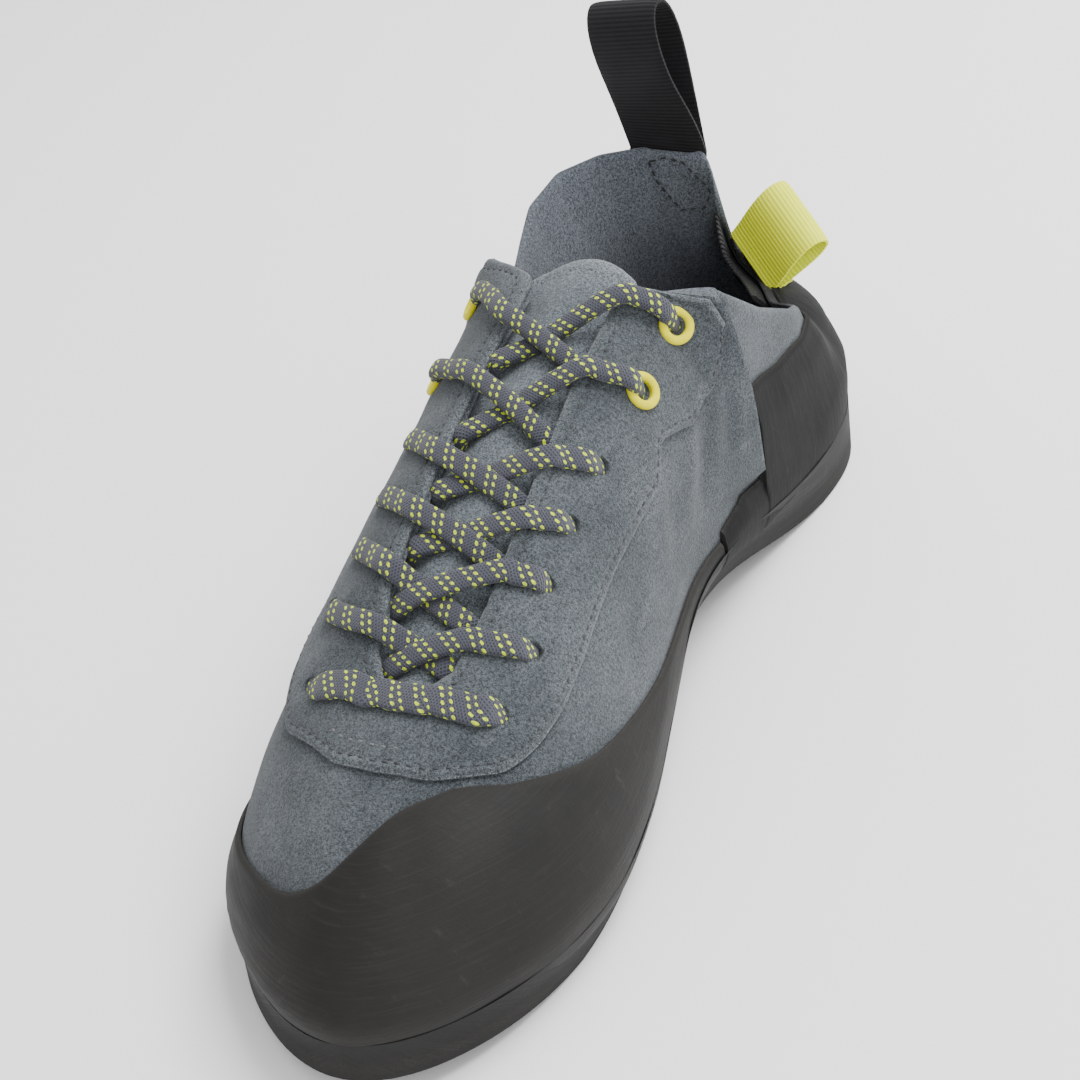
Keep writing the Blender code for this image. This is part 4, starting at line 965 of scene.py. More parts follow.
def make_rand(name, node_name, line, material):
    """A band of rubber from under the sole to its skived top edge, rounded where it is cut."""
    edges = [step + side for step in UPRIGHT_STEPS for side in (-0.02, 0.0, 0.02)]
    columns = columns_between(line[0, 0] + SEAM_GAP, line[-1, 0] - SEAM_GAP, 0.035, edges)
    top = np.interp(columns, line[:, 0], line[:, 1])
    steep = np.min([np.abs(columns - step) for step in UPRIGHT_STEPS], axis=0)
    top = np.where(steep < 0.15, top, soft_line(line, columns, np.clip(steep - 0.1, 0.02, 0.34)))[:, None]
    share = np.concatenate([np.linspace(0, 0.9, 26), [0.93, 0.955, 0.975, 0.988, 0.996, 1.0]])[None, :]
    up = top * share
    at = np.broadcast_to(columns[:, None], up.shape)
    skin = last_skin(at, up)
    run = run_up(skin)
    away = run[:, -1:] - run
    skive = smooth(0.7, 1.0, up / top)
    thick = (RUBBER - (RUBBER - RUBBER_SKIVE) * skive) * (0.45 + 0.55 * smooth(0.0, 0.0009, away))
    lumps = LUMPS * np.sin(at * 5.3 + 1.0) * np.sin(up * 11.0 + at * 2.1)
    outer = offset_skin(at, up, GAP + thick + lumps * smooth(0.0, 0.004, away))
    inner = offset_skin(at, up, GAP)
    ends = np.minimum(columns - columns[0], columns[-1] - columns)[:, None] * STATION_LENGTH
    wear = 0.55 * np.exp(-away / CUT_EDGE_REACH) + 0.35 * np.exp(-ends / 0.0006)
    item = shell(name, outer, inner, material, cloth_place(outer), {"wear": wear})
    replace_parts(item, node_name)
    return item


toe_rand = make_rand("toe_rand_rubber", "toe_rand", TOE_RAND, TOE_RUBBER)
heel_rand = make_rand("heel_rand_rubber", "heel_rand", HEEL_RAND, HEEL_RUBBER)
print("rands have", len(toe_rand.data.polygons) + len(heel_rand.data.polygons), "faces")

# %% [markdown]
# The outsole is a thicker sheet. Its side is ground square to the floor, so it shows a paler band, and its
# lower corner is rounded. It could be cut from a plate, but its seat has to follow the last. So it is a stack
# of loops round the shoe: from the middle of the seat out under the rand, down the side, round the corner and
# back to the middle of the floor side.

# %% The outsole's loops
SOLE_SEAT = RUBBER + GAP - 0.0001
RIM_UP, RIM_OUT, CORNER, FLOOR_INSET = 0.135, 0.0002, 0.0008, 0.0025
TOWARDS_MIDDLE = (0.12, 0.25, 0.38, 0.499)


def outsole_loops(at):
    """Loops of points: offset skin, straight lines down the side, a quarter arc, then shares to the middle."""
    values = station_values(at)
    widest, feather, edge = values[0] + CENTRED, values[1], values[5]
    outward = plan_normal(at)
    bottom = np.maximum(feather - RUBBER - 2 * GAP - SOLE_THICKNESS, 0.0)
    inside = last_skin(at, 0.0) - outward * 0.0005
    inside[:, 2] = feather - RUBBER - 2 * GAP
    loops = [inside] + [offset_skin(at, up, SOLE_SEAT) for up in (0.0, 0.03, 0.06, 0.10, 0.13)]
    rim = offset_skin(at, RIM_UP, SOLE_SEAT + RIM_OUT)
    low = widest + outward * edge[:, None]
    low[:, 2] = bottom + CORNER
    loops += [rim + (low - rim) * share for share in (0.0, 0.06, 0.2, 0.4, 0.6, 0.8, 1.0)]
    for angle in np.linspace(0.15, 1.0, 5) * math.pi / 2:
        loop = widest + outward * (edge - CORNER * (1 - math.cos(angle)))[:, None]
        loop[:, 2] = bottom + CORNER * (1 - math.sin(angle))
        loops.append(loop)
    for inset in (FLOOR_INSET, TUCK):
        loop = widest + outward * (edge - inset)[:, None]
        loop[:, 2] = bottom
        loops.append(loop)
    partner = (-np.arange(len(at))) % len(at)
    last = loops[-1]
    loops += [last * (1 - share) + last[partner] * share for share in TOWARDS_MIDDLE]
    for share in (0.2, 0.35, 0.499):
        loops.insert(0, inside * (1 - share) + inside[partner] * share)
    return np.stack(loops, 1)[:, ::-1], bottom


print("the outsole has", outsole_loops(np.arange(0, TURN, 1.0))[0].shape[1], "loops")

# %% [markdown]
# The loops become one skin. Its wear follows the height over the floor: a bell makes the ground band paler.

# %% The outsole
GROUND_BAND_AT, GROUND_BAND_REACH = 0.0035, 0.0028


def make_outsole():
    """The loops joined round the shoe; the wear share is a bell over the height."""
    points, bottom = outsole_loops(np.arange(0, TURN, 0.045))
    count, rows = points.shape[:2]
    place = cloth_place(points)
    cells = grid_faces(count, rows, True, False)
    faces = (cells[..., 0] % count) * rows + cells[..., 1]
    wide = np.concatenate([place, place[:1]])
    wide[-1, :, 0] = wide[-2, :, 0] + 0.001
    uv = wide[cells[..., 0], cells[..., 1]]
    height = points[..., 2] - bottom[:, None]
    band = np.exp(-((height - GROUND_BAND_AT) / GROUND_BAND_REACH) ** 2) * 0.35
    item = make_mesh("outsole_rubber", points.reshape(-1, 3), faces, uv, {"wear": band}, SOLE_RUBBER)
    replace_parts(item, "outsole")
    return item


outsole = make_outsole()
print("outsole has", len(outsole.data.polygons), "faces")

# %% [markdown]
# The tongue is a padded strip under the lace. Its sides are tucked below the upper's flaps, and its middle
# bridges the throat with a low crown. Cloth simulation could drape it, but it would have to keep clear of
# lace and leather. So its sides are the last's skin, a little inwards, and a parabola joins them.

# %% The tongue's form
TONGUE_ROWS = np.array([
    # station, height of the bridge's foot, height of the tucked side, share of the full depth
    (0.90, 0.860, 0.780, 0.00), (1.40, 0.930, 0.800, 0.15), (1.90, 1.000, 0.820, 0.60),
    (2.60, 1.000, 0.820, 1.00), (3.30, 1.000, 0.820, 1.00), (4.00, 1.000, 0.820, 1.00),
    (4.70, 1.000, 0.820, 1.00), (5.30, 1.000, 0.820, 1.00), (5.70, 1.000, 0.820, 1.00),
])
TONGUE_SEAT, TONGUE_CLEARANCE, TONGUE_THICKNESS = 0.0008, 0.0022, 0.0030
TONGUE_RISE, TONGUE_CROWN = 0.0125, 0.0030
TONGUE_MIDDLE = 13


def tongue_grid(thickness, rows_to=60):
    """The tongue's face at a depth in its thickness: tucked sides joined by a low crown."""
    rows = np.arange(len(TONGUE_ROWS))
    fine = np.linspace(0, len(TONGUE_ROWS) - 1, rows_to)
    station, middle, side, drop = (np.interp(fine, rows, column) for column in TONGUE_ROWS.T)
    depth = UPPER_WALL + TONGUE_SEAT + drop * (TONGUE_CLEARANCE - TONGUE_SEAT) + thickness
    share = np.linspace(0, 1, 6)[None, :]
    tucked = side[:, None] + (middle - side)[:, None] * share
    wide = np.broadcast_to(station[:, None], tucked.shape)
    deep = np.broadcast_to(-depth[:, None], tucked.shape)
    inner_side = offset_skin(wide, tucked, deep)
    outer_side = offset_skin(TURN - wide, tucked, deep)[:, ::-1]
    bridge = np.linspace(0, 1, 16)[None, 1:-1, None]
    first, last = inner_side[:, -1:], outer_side[:, :1]
    raised = unit(skin_normal(station, middle) + skin_normal(TURN - station, middle))[:, None]
    across = first + bridge * (last - first) + 4 * bridge * (1 - bridge) * TONGUE_CROWN * raised
    grid = np.concatenate([inner_side, across, outer_side], 1)
    onward = unit(grid[-1] - grid[-3])
    wide = np.linspace(-1, 1, grid.shape[1])[:, None]
    rise = TONGUE_RISE * (1 - 0.72 * np.abs(wide) ** 2.6)
    tops = [grid[-1] + onward * rise * part for part in np.linspace(0, 1, 12)[1:]]
    return np.concatenate([grid, np.array(tops)])


tongue_middle = tongue_grid(0.0)[:, TONGUE_MIDDLE]
print("the tongue is %.0f mm long" % (run_along(tongue_middle)[-1] * 1000))

# %% [markdown]
# A hem is turned at the tongue's top and stitched down, and the lace presses shallow furrows into the pad. A
# bell makes the hem's stitch line, and a cosine with the lace's spacing makes the furrows.

# %% The tongue
HEM, LACE_SPACING = 0.0050, 0.0155


def make_tongue():
    """Both faces of the tongue, pressed by the lace, with a hem along its top edge and painted shade on its
    tucked sides.
    """
    outer, inner = tongue_grid(0.0), tongue_grid(TONGUE_THICKNESS)
    lift = unit(outer - inner)
    run = run_along(outer[:, TONGUE_MIDDLE])
    to_top = (run[-1] - run)[:, None]
    across = np.linspace(-1, 1, outer.shape[1])[None, :]
    hem = 0.0005 * (1 - smooth(0.0042, 0.0054, to_top)) - 0.0006 * np.exp(-((to_top - HEM) / 0.0005) ** 2)
    round_top = -0.0011 * (1 - smooth(0.0, 0.0016, to_top))
    pressed = -0.0004 * (0.5 + 0.5 * np.cos(run[:, None] * 2 * math.pi / LACE_SPACING)) * (to_top > 0.012)
    waved = 0.00025 * np.sin(across * 7 + run[:, None] * 160)
    outer = outer + lift * (hem + round_top + pressed + waved)[..., None]
    inner = inner - lift * round_top[..., None]
    # Painted shade: the sides are darkened where they tuck under the flaps.
    side = 0.5 * np.exp(-(1 - np.abs(across)) / 0.06)
    wear = 0.5 * np.exp(-to_top / 0.001) + 0.35 * (1 - smooth(0.004, 0.006, to_top))
    shares = {"wear": np.broadcast_to(wear, outer.shape[:2]), "dark": np.broadcast_to(side, outer.shape[:2])}
    item = shell("tongue_suede", outer, inner, TONGUE_SUEDE, cloth_place(outer), shares)
    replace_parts(item, "tongue")
    return item


tongue = make_tongue()
print("tongue has", len(tongue.data.polygons), "faces")

# %% [markdown]
# The stretch panel at the back of the collar is a ribbed band. It lets the heel in and pulls the collar shut.
# It could hang as a simulated cloth, but it is sewn in flat, so it is the skin again, inside the wall, and
# stands a little over the collar's edge.

# %% The stretch panel
ELASTIC_THICKNESS, ELASTIC_RISE = 0.0012, 0.0045


def make_elastic():
    """A thin band inside the back of the collar, with a rounded top edge."""
    at = np.linspace(8.35, 10.0, 90)
    rows = np.linspace(0.7, 1.0, 14)
    grids = []
    for depth in (UPPER_WALL + GAP, UPPER_WALL + GAP + ELASTIC_THICKNESS):
        grid = offset_skin(at[:, None], rows[None, :], -depth)
        onward = unit(grid[:, -1] - grid[:, -3])
        tops = [grid[:, -1] + onward * ELASTIC_RISE * part for part in (0.25, 0.5, 0.75, 0.9, 1.0)]
        grids.append(np.concatenate([grid, np.stack(tops, 1)], 1))
    outer, inner = grids
    share = np.concatenate([np.zeros(len(rows) + 3), [0.15, 0.35]])[None, :, None]
    outer, inner = outer * (1 - share) + inner * share, inner * (1 - share) + outer * share
    item = shell("stretch_panel", outer, inner, RIBBED, cloth_place(outer))
    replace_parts(item, "heel_elastic")
    return item


elastic = make_elastic()
print("stretch panel has", len(elastic.data.polygons), "faces")

# %% [markdown]
# The insole is the board and sock that the foot stands on. Hardly any of it shows, and it is flat, so the CAD
# solid itself stays and only takes the sock's finish.

# %% The insole
insole = bpy.data.objects["insole"]
insole.data.materials.clear()
insole.data.materials.append(SOCK)
print("insole keeps its", len(insole.data.polygons), "faces")

# %% [markdown]
# The lace is a flat braid. It could be a curve with a bevel profile, but that turns and pinches in tight
# bends. So a rounded section is carried along a path, and every ring is turned: across the path, and
# facing the way that the lace faces there.

# %% A ribbon along a path
LACE_WIDTH, LACE_THICKNESS, BAR_WIDTH = 0.0052, 0.0021, 0.0068


def curve_through(points, count):
    """A smooth curve through points, each stretch a cubic that leaves and arrives along its neighbours."""
    points = np.array(points)
    ends = np.concatenate([[2 * points[0] - points[1]], points, [2 * points[-1] - points[-2]]])
    place = np.linspace(0, len(points) - 1, count)
    low = np.minimum(place.astype(int), len(points) - 2)
    t = (place - low)[:, None]
    a, b, c, d = (ends[low + k] for k in range(4))
    return b + 0.5 * t * (c - a + t * (2 * a - 5 * b + 4 * c - d + t * (3 * (b - c) + d - a)))


def ribbon(name, path, faces_up, width, thickness, material, start=0.0):
    """A flat lace: a rounded section of 20 points carried along a path that faces a given way."""
    angle = np.linspace(0, 2 * math.pi, 20, endpoint=False)
    run = unit(np.gradient(path, axis=0))
    across = unit(np.cross(run, faces_up))
    lift = np.cross(across, run)
    wide = np.sign(np.cos(angle)) * np.abs(np.cos(angle)) ** 0.75
    tall = np.sign(np.sin(angle)) * np.abs(np.sin(angle)) ** 0.75
    width = np.broadcast_to(width, len(path))[:, None, None]
    thickness = np.broadcast_to(thickness, len(path))[:, None, None]
    sideways = across[:, None] * wide[None, :, None] * width / 2
    rings = path[:, None] + sideways + lift[:, None] * tall[None, :, None] * thickness / 2
    count, sides = len(path), len(angle)
    tips = np.repeat(rings.mean(1, keepdims=True), sides, axis=1)
    rings = np.concatenate([tips[:1], rings, tips[-1:]])
    along = run_along(path) + start
    along = np.concatenate([along[:1], along, along[-1:]])
    section = np.stack([wide * width.mean(), tall * thickness.mean()], 1) / 2
    girth = np.concatenate([[0], np.cumsum(np.linalg.norm(np.roll(section, -1, 0) - section, axis=1))])
    cells = grid_faces(count + 2, sides, False, True)
    faces = cells[..., 0] * sides + cells[..., 1] % sides
    uv = np.stack([along[cells[..., 0]], girth[cells[..., 1]]], -1)
    item = make_mesh(name, rings.reshape(-1, 3), faces, uv, {}, material)
    return item


corner = curve_through([(0, 0, 0), (1, 0, 0), (1, 1, 0)], 30)
print("a curve through a unit corner is %.2f long" % run_along(corner)[-1])

# %% [markdown]
# A strand comes up from under one flap, crosses the throat, lies over the other flap and dives into the next
# hole. Two strands cross at each step, where the one on top lifts over the one below. Their meeting place is
# where two straight lines between the throat's edges cross, seen from above.

# %% Flaps and crossings
LACE_DIVE = 0.0020


def lace_hole(index, side):
    """The station and height of a lace hole."""
    return LACE_PLACES[index, 0:2] if side == "inner" else LACE_PLACES[index, 2:4]


def flap_points(index, side, lifts):
    """Points from a lace hole to where its strand crosses the throat's edge, and the way that they face."""
    station, up = lace_hole(index, side)
    share = np.array([0.0, 0.25, 0.62, 1.0])
    at = station + share * (LACE_EDGES[index - 1, 2 if side == "inner" else 3] - station)
    steps = up + share * (1 - up)
    seat = GAP + EYESTAY + quarter_step(at, steps)
    points = offset_skin(at, steps, seat + np.array(lifts))
    points[0] += unit(points[0] - points[1]) * 0.0006
    return points, skin_normal(at, steps)


def meeting(index):
    """The place between the two strands of a crossing, where they meet when seen from above."""
    starts, ends = last_skin(LACE_EDGES[index, 0:2], 1.0), last_skin(LACE_EDGES[index, [3, 2]], 1.0)
    ways = ends - starts
    shares = np.linalg.solve(np.stack([ways[0, :2], -ways[1, :2]], 1), starts[1, :2] - starts[0, :2])
    return (starts + ways * shares[:, None]).mean(0)


print("the first crossing is at", [round(float(v) * 1000, 1) for v in meeting(0)], "mm")

# %% [markdown]
# Near the ankle the lace is pulled rounder and arches more, and it has to pass over the eyelets' rims. So a
# strand's width, thickness and arch depend on its number, counted from the toe.

# %% One strand
ROUND_FROM, ROUND_WIDTH, ROUND_THICKNESS, ROUND_ARCH, TOP_ARCH = 4, 0.0047, 0.0031, 0.0004, 0.0012
FIRST_EYELET, EYELET_LIFT = 5, 0.0010


def strand(name, index, start_side, end_side, on_top):
    """One strand: under the flap's edge, across the throat and over the far flap into the next hole."""
    rounder = index >= ROUND_FROM
    width = ROUND_WIDTH if rounder else LACE_WIDTH
    thick = ROUND_THICKNESS if rounder else LACE_THICKNESS
    arch = TOP_ARCH if index == len(LACE_EDGES) - 1 else ROUND_ARCH if rounder else 0.0
    eyelet = EYELET_LIFT if index + 1 >= FIRST_EYELET else 0.0
    lifts = [-LACE_DIVE, thick * 0.45 + eyelet, thick / 2 + arch * 1.3, thick / 2 + 0.0002 + arch]
    over, normals = flap_points(index + 1, end_side, lifts)
    station = LACE_EDGES[index, 0 if start_side == "inner" else 1]
    low = -(UPPER_WALL + 0.0011)
    under = offset_skin(np.array([station, station]), np.array([0.93, 0.985]), np.array([low, low]))
    edge = last_skin(station, 1.0)
    inside = edge + unit(over[3] - edge) * 0.0024 + np.array([0, 0, -0.0004])
    meet = meeting(index) + unit((0, -0.3, 1.0)) * thick * (0.95 if on_top else 0.05)
    path = curve_through([under[0], under[1], inside, meet, over[3], over[2], over[1], over[0]], 64)
    turn = np.linspace(0, 1, len(path))[:, None]
    middle = np.array([0.0, -0.5, 0.86])
    way = unit(skin_normal(station, 0.97) * np.clip(1 - 3 * turn, 0, 1) + middle * 0.8
               + normals[1] * np.clip(3 * turn - 1.6, 0, 1) * 2)
    late = smooth(0.9, 1.0, turn[:, 0])
    return ribbon(name, path, way, width * (1 - 0.22 * late), thick * (1 + 0.2 * late), LACE, 0.02 * index)


print("a strand is %.1f mm wide, and %.1f mm near the ankle" % (LACE_WIDTH * 1000, ROUND_WIDTH * 1000))

# %% [markdown]
# At the toe end the lace starts as a bar between the two lowest holes. Then six crossings follow. In the
# first two the strand that ends on the inner side lies on top, and from the third on the other one does.

# %% The bar and the crossings
BAR_ENDS = {0: (-0.10, -0.018), -1: (0.09, -0.018)}
SWITCH_AT = 2


def make_bar():
    """The bar: a ribbon along its line, sunk into the lowest holes by soft steps at both ends."""
    knots = BAR_LINE.copy()
    for place, onward in BAR_ENDS.items():
        knots[place] += onward
    line = curve_through(knots, 72)
    turn = np.linspace(0, 1, len(line))
    ends = smooth(0.0, 0.10, turn) * smooth(0.0, 0.10, 1 - turn)
    lift = GAP + EYESTAY - LACE_DIVE + (LACE_DIVE + LACE_THICKNESS / 2) * ends
    path, faces_up = offset_skin(line[:, 0], line[:, 1], lift), skin_normal(line[:, 0], line[:, 1])
    width = BAR_WIDTH * (0.75 + 0.25 * ends)
    return ribbon("lace_bar_braid", path, faces_up, width, LACE_THICKNESS * 0.95, LACE)


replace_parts(make_bar(), "lace_bar")
for index in range(len(LACE_EDGES)):
    one = strand("lace_over_%d" % (index + 1), index, "outer", "inner", index < SWITCH_AT)
    other = strand("lace_back_%d" % (index + 1), index, "inner", "outer", index >= SWITCH_AT)
    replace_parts(one, "lace_crossing_%d" % (index + 1))
    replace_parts(other, "lace_crossing_%d" % (index + 1))
print("lace laid through", 2 * len(LACE_PLACES), "holes")

# %% [markdown]
# Eyelets are pressed from thin tube: the rim rolls over the leather on both sides. A torus would lack the
# tube that lines the hole. A profile turned about the hole's own direction gives both.

# %% The eyelets
EYELET_RADIUS, EYELET_RIM, EYELET_HEIGHT = 0.00335, 0.00105, 0.0009
EYELET_TUBE = np.array([[0.0024, -0.0005], [0.0023, -0.0030], [0.0028, -0.0030], [0.0028, -0.0004]])


def make_eyelet(name, node_name, index, side):
    """A ring: a closed profile of radius and height, turned about the hole's direction."""
    station, up = lace_hole(index, side)
    direction = skin_normal(station, up)
    seat = EYESTAY + GAP + float(quarter_step(np.array([station]), np.array([up]))[0]) + 0.0003
    centre = last_skin(station, up) + direction * seat
    angle = np.linspace(-0.15, 1.15, 14) * math.pi
    rim = np.stack([EYELET_RADIUS + EYELET_RIM * np.cos(angle), 0.0001 + EYELET_HEIGHT * np.sin(angle)], 1)
    profile = np.concatenate([rim, EYELET_TUBE])
    side_way = unit(np.cross(direction, (0.0, 1.0, 0.0)))
    up_way = np.cross(direction, side_way)
    turn = np.linspace(0, 2 * math.pi, 48, endpoint=False)
    ring = np.cos(turn)[:, None] * side_way + np.sin(turn)[:, None] * up_way
    points = centre + profile[None, :, :1] * ring[:, None] + profile[None, :, 1:] * direction
    cells = grid_faces(len(turn), len(profile), True, True)
    faces = (cells[..., 0] % len(turn)) * len(profile) + cells[..., 1] % len(profile)
    item = make_mesh(name, points.reshape(-1, 3), faces, cells * 0.001, {}, PAINT)
    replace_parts(item, node_name)


EYELET_HOLES = ((5, "inner"), (5, "outer"), (6, "inner"), (6, "outer"))
for number, (index, side) in enumerate(EYELET_HOLES, 1):
    make_eyelet("eyelet_ring_%d" % number, "eyelet_%d" % number, index, side)
print(len(EYELET_HOLES), "eyelets turned")

# %% [markdown]
# Each pull loop is a strap folded in half and sewn down. A loop starts at its seam, so the seat comes first:
# a point off the skin, the direction of the seam and the way up from it. The short loop's seam is turned
# against the collar's edge.

# %% Where a loop is sewn
WEB_WIDTH, WEB_THICKNESS = 0.020, 0.0014


def loop_seat(station, reach, up, out, rise, turn=0.0):
    """Where a loop is sewn: a point off the skin, its seam turned from the collar's edge, and the way up."""
    at = np.array([station, station + reach, station - reach])
    point, ahead, behind = offset_skin(at, np.full(3, up), np.full(3, out))
    low = offset_skin(at[:1], np.array([0.85]), np.full(1, out))[0]
    upward = unit(point - low)
    along = unit(ahead - behind)
    seam = math.cos(turn) * along + math.sin(turn) * upward
    return point + upward * rise, seam, math.cos(turn) * upward - math.sin(turn) * along


side_seat = loop_seat(10.75, 0.25, 0.98, 3 * GAP, 0.0)
back_seat = loop_seat(9.10, 0.50, 1.0, RUBBER_SKIVE + 0.0016, 0.004, math.radians(40))
print("the long loop is sewn on %.0f mm over the floor" % (side_seat[0][2] * 1000))

# %% [markdown]
# Between the seam and the fold the two halves of a strap part into a teardrop, and the strap twists from the
# seam's direction to the fold's. Cloth simulation would find such a form, but not just the photo's lean. So
# height and parting are a cosine and a sine of one angle, and the directions are given.

# %% The pull loops
def teardrop(length, spread, tab):
    """Height and lean along a folded strap: tabs below zero, then a cosine, and a sine that parts it."""
    turn = np.linspace(0, 2 * math.pi, 97)
    stack = WEB_THICKNESS + GAP
    height = length * (1 - np.cos(turn)) / 2
    lean = -stack / 2 * np.cos(turn / 2) - spread / 2 * np.sin(turn) * height / length
    tabs = np.linspace(-tab, 0, 14)[:-1]
    height = np.concatenate([tabs, height, tabs[::-1]])
    lean = np.concatenate([np.full(len(tabs), -stack / 2), lean, np.full(len(tabs), stack / 2)])
    return height, lean + stack / 2 + WEB_THICKNESS / 2


def webbing_loop(name, node_name, seat, shift, lean_to, fold, length, spread, tab, low, material):
    """A strap carried along a teardrop, turned from seam to fold by a share of the loop's height."""
    base, across, tab_up = seat
    base = base + np.array(shift)
    height, lean = teardrop(length, spread, tab)
    fold = unit(fold)
    up = unit(np.array(lean_to) - fold * (np.array(lean_to) @ fold))
    tab_up = unit(tab_up - across * (tab_up @ across))
    fade = smooth(0.0, 1.0, (height + tab) / (tab + low * length))[:, None]
    out = unit((1 - fade) * np.cross(across, tab_up) + fade * np.cross(fold, up))
    rise = tab_up * np.minimum(height, 0)[:, None] + up * np.maximum(height, 0)[:, None]
    path = base + rise + out * lean[:, None]
    for _ in range(3):
        path[1:-1] = (path[:-2] + 2 * path[1:-1] + path[2:]) / 4
    run = unit(np.gradient(path, axis=0))
    turned = unit((1 - fade) * across + fade * fold)
    outward = unit(np.cross(run, turned))
    wide = np.linspace(-0.5, 0.5, 25)
    wide = np.sign(wide) * (1 - (1 - 2 * np.abs(wide)) ** 1.15) / 2
    thick = WEB_THICKNESS / 2 * (1 - 0.55 * np.abs(2 * wide) ** 8)
    ribs = 0.00003 * np.sin(np.arange(len(path)) * 2.1)[:, None]
    sides = path[:, None] + wide[None, :, None] * WEB_WIDTH * turned[:, None]
    depth = outward[:, None] * (thick[None, :] + ribs)[..., None]
    outer, inner = sides + depth, sides - depth
    item = shell(name, outer, inner, material, cloth_place(outer))
    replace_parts(item, node_name)
    return item


side_loop = webbing_loop(
    "side_loop_webbing", "pull_loop_side", side_seat, shift=(0.0007, 0.0003, -0.0001),
    lean_to=(-0.105, -0.077, 0.991), fold=(-0.989, 0.116, -0.096), length=0.0418, spread=0.015,
    tab=0.010, low=0.6, material=BLACK_WEB)
back_loop = webbing_loop(
    "back_loop_webbing", "pull_loop_back", back_seat, shift=(0.0002, -0.0005, -0.0007),
    lean_to=(0.709, 0.201, 0.675), fold=(-0.67, 0.489, 0.558), length=0.0198, spread=0.011,
    tab=0.009, low=0.0, material=LIME_WEB)
print("loops sewn on")

# %% [markdown]
# Stitches are short lengths of thread that dip into the leather at both ends. An array modifier could repeat
# them along a curve, but it turns them badly on a curved skin. So all stitches of a line are one mesh: a
# small rod with round ends is a template, which is copied to every place at once.

# %% Rods along a line
STITCH_LENGTH, STITCH_GAP, THREAD_WIDTH = 0.0017, 0.0010, 0.00055


def placed_rods(centre, along, across, lift, rings=7, sides=8):
    """Every rod's points: a round section shrinks towards both ends, and the ends bend down by a square."""
    u = np.linspace(-1, 1, rings)
    radius = np.sqrt(np.clip(1 - np.abs(u) ** 3.5, 0, 1)) * THREAD_WIDTH / 2
    angle = np.linspace(0, 2 * math.pi, sides, endpoint=False)
    x = np.repeat(u, sides) * STITCH_LENGTH / 2
    y = np.outer(radius, np.cos(angle)).ravel()
    z = np.outer(radius, np.sin(angle)).ravel() - np.repeat(u * u, sides) * THREAD_WIDTH * 0.6
    points = (centre[:, None] + along[:, None] * x[None, :, None] + across[:, None] * y[None, :, None]
              + lift[:, None] * z[None, :, None])
    cells = grid_faces(rings, sides, False, True)
    template = cells[..., 0] * sides + cells[..., 1] % sides
    faces = (template[None] + (np.arange(len(centre)) * rings * sides)[:, None, None]).reshape(-1, 4)
    return points.reshape(-1, 3), faces, np.tile(cells * 0.0003, (len(centre), 1, 1))


def stitches(name, points, faces_up, material):
    """Rods along a line: each point of a template is placed by the line's own three directions."""
    run = run_along(points)
    step, half = STITCH_LENGTH + STITCH_GAP, STITCH_LENGTH / 2
    middles = np.arange(half, run[-1] - half, step)
    centre, ahead = (np.stack([np.interp(middles + on, run, column) for column in points.T], 1)
                     for on in (0.0, STITCH_LENGTH / 3))
    along = unit(ahead - centre)
    way = np.stack([np.interp(middles, run, column) for column in faces_up.T], 1)
    across = unit(np.cross(along, way))
    placed, faces, uv = placed_rods(centre, along, across, np.cross(across, along))
    item = make_mesh(name, placed, faces, uv, {}, material)
    return len(middles)


print("a stitch is %.1f mm long, with %.1f mm between two" % (STITCH_LENGTH * 1000, STITCH_GAP * 1000))

# %% [markdown]
# Four lines are sewn: one along the eyestay's lower edge, one along the throat, a short second row in paler
# thread at the toe end, and the box that holds the long loop inside the collar's ear. The first two keep the
# distance of the furrows.

# %% The stitches
SUNK = 0.00015
TOE_ROW_INSET, TOE_ROW = 0.0052, (-1.3, 0.6)
EAR_LINE = (
    # station, height
    (10.99, 0.946), (10.93, 0.858), (10.81, 0.791), (10.70, 0.744), (10.41, 0.764), (10.28, 0.850),
    (10.37, 0.870), (10.45, 0.906), (10.59, 0.966), (10.79, 0.973), (10.99, 0.946),
)


def stitch_on_skin(name, line, lift, material):
    """Stitches along a line of stations and heights, a given height off the skin."""
    at, up = line_points(line, 0.0008)[:2]
    points = offset_skin(at, up, lift + quarter_step(at, up) + crease_height(at, up) * 0.9)
    return stitches(name, points, skin_normal(at, up), material)


def above_low_edge(away, start, end, count=160):
    """A line that keeps a distance in metres above the eyestay's lower edge."""
    at = np.linspace(start, end, count)
    up = eyestay_low(at)
    per = np.linalg.norm(last_skin(at, np.minimum(up + 0.02, 1)) - last_skin(at, up - 0.02), axis=1) / 0.04
    return np.stack([at, up + away / per], 1)


def below_throat(away, start, end, count=400):
    """A line that keeps a distance in metres below the throat's edge."""
    at = np.linspace(start, end, count)
    per = np.linalg.norm(last_skin(at, 1.0) - last_skin(at, 0.96), axis=1) / 0.04
    return np.stack([at, 1.0 - away / per], 1)


low_row = above_low_edge(STITCH_INSET, -6.22, 6.22, 400)
throat_row = below_throat(THROAT_STITCH_INSET, -6.1, 6.1)
total = stitch_on_skin("eyestay_stitches", low_row, EYESTAY + GAP - SUNK, THREAD)
total += stitch_on_skin("throat_stitches", throat_row, EYESTAY + GAP - 0.8 * SUNK, THREAD)
total += stitch_on_skin("ear_stitches", EAR_LINE, -UPPER_WALL - 0.0001, DARK_THREAD)
toe_row = above_low_edge(TOE_ROW_INSET, *TOE_ROW)
total += stitch_on_skin("toe_stitches", toe_row, EYESTAY + GAP - 0.0001, PALE_THREAD)
print(total, "stitches")

# %% [markdown]
# Stage, light and camera
#
# A product photo is taken on pale paper in broad soft light. A lit studio model could be built, but a large
# plane, three area lights and an even white world do the same. The key light stands high on the inner side.

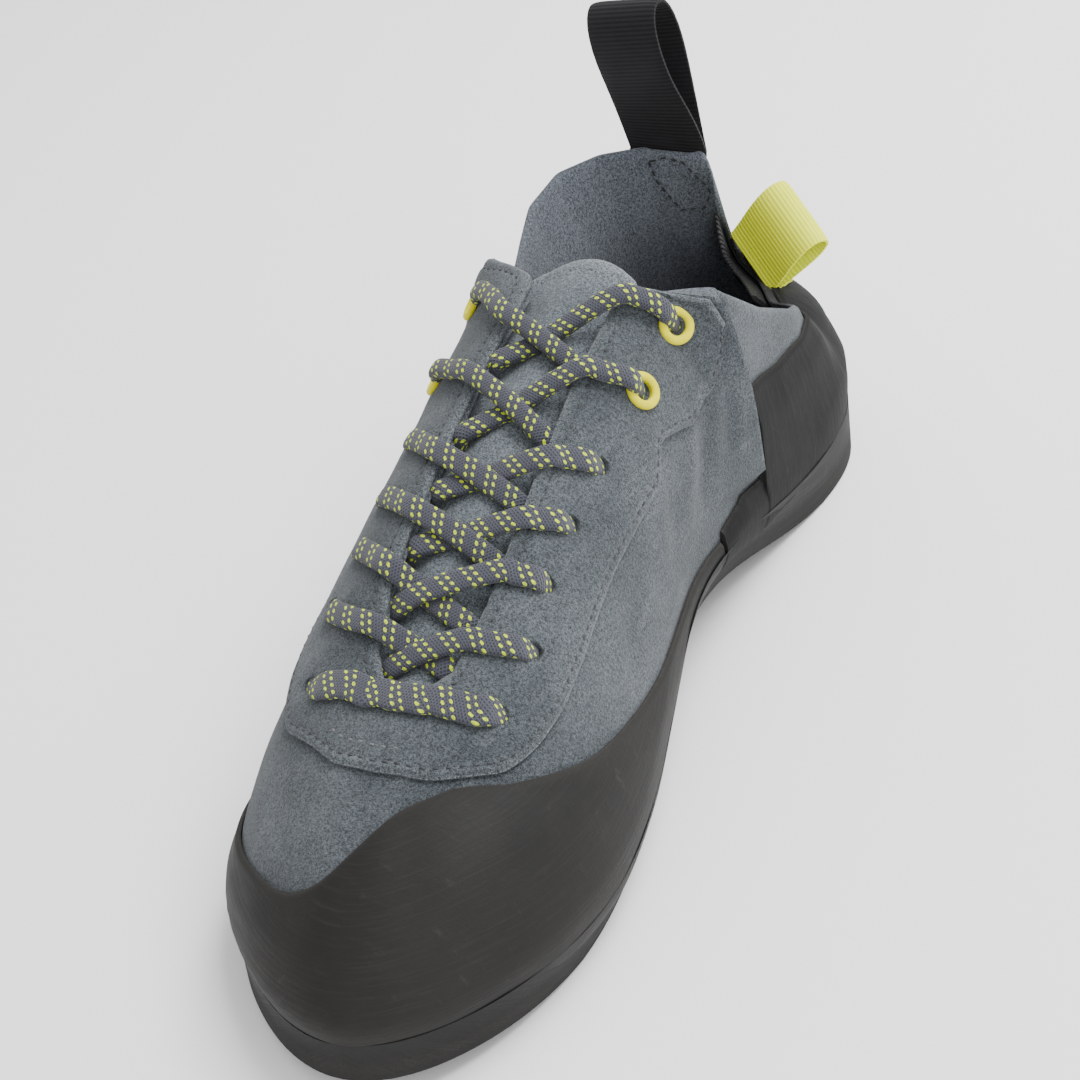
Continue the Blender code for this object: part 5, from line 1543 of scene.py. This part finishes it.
# %% Floor and lights
floor_mesh = bpy.data.meshes.new("floor")
floor_mesh.from_pydata([(-4, -4, 0), (4, -4, 0), (4, 4, 0), (-4, 4, 0)], [], [(0, 1, 2, 3)])
floor = bpy.data.objects.new("floor", floor_mesh)
bpy.context.scene.collection.objects.link(floor)
paper, tree, shader = new_material("paper")[:3]
plug(tree, shader, (0.97, 0.97, 0.97, 1.0), 0.9, None)
floor_mesh.materials.append(paper)


def pose(right, up, back, place):
    """A matrix whose columns are three directions and a place."""
    rows = np.stack([right, up, back], 1)
    return Matrix([(*row, spot) for row, spot in zip(rows, place)] + [(0, 0, 0, 1)])


def area_light(name, place, aim, size, power):
    """A square soft light at a place, turned to face a point."""
    data = bpy.data.lights.new(name, "AREA")
    data.size = size
    data.energy = power
    item = bpy.data.objects.new(name, data)
    bpy.context.scene.collection.objects.link(item)
    back = unit(np.array(place) - np.array(aim))
    right = unit(np.cross((0.0, 0.001, 1.0), back))
    up = np.cross(back, right)
    item.matrix_world = pose(right, up, back, place)


area_light("key_light", (0.45, 0.35, 1.1), (0, 0, 0.03), 0.7, 20.0)
area_light("fill_light", (0.9, -0.7, 0.7), (0, 0, 0.05), 0.8, 5.0)
area_light("back_light", (0.2, 1.0, 0.8), (0, 0, 0.05), 0.8, 8.0)
world = bpy.data.worlds.new("studio")
world.use_nodes = True
background = world.node_tree.nodes["Background"]
background.inputs["Color"].default_value = (1.0, 1.0, 1.0, 1.0)
background.inputs["Strength"].default_value = 0.95
bpy.context.scene.world = world
print("stage lit")

# %% [markdown]
# The camera stands where the photo's did: above the toe on the inner side, rolled so that the shoe leans
# across the frame. Its angles, distance and lens were fitted to points of the photo that can be
# found on the shoe, such as the eyelets. Angles read better than a matrix, so they are turned into one here.

# %% Camera
AZIMUTH, ELEVATION, ROLL = 33.07, 34.31, -13.44
TARGET = np.array([-0.00483, -0.00127, 0.04347]) + CENTRED
DISTANCE, FOCAL_PIXELS, PHOTO_PIXELS, SENSOR = 0.47703, 2086.8, 1080, 36.0
turn, tilt, roll = (math.radians(v) for v in (AZIMUTH, ELEVATION, ROLL))
back = np.array([math.sin(turn) * math.cos(tilt), -math.cos(turn) * math.cos(tilt), math.sin(tilt)])
level = unit(np.cross((0.0, 0.0, 1.0), back))
upright = np.cross(back, level)
right = math.cos(roll) * level + math.sin(roll) * upright
above = -math.sin(roll) * level + math.cos(roll) * upright
place = TARGET + back * DISTANCE
camera_data = bpy.data.cameras.new("camera")
camera_data.sensor_width = SENSOR
camera_data.lens = FOCAL_PIXELS / PHOTO_PIXELS * SENSOR
camera_data.clip_start = 0.01
camera = bpy.data.objects.new("camera", camera_data)
bpy.context.scene.collection.objects.link(camera)
camera.matrix_world = pose(right, above, back, place)
bpy.context.scene.camera = camera
print("camera at", [round(float(v), 3) for v in place])
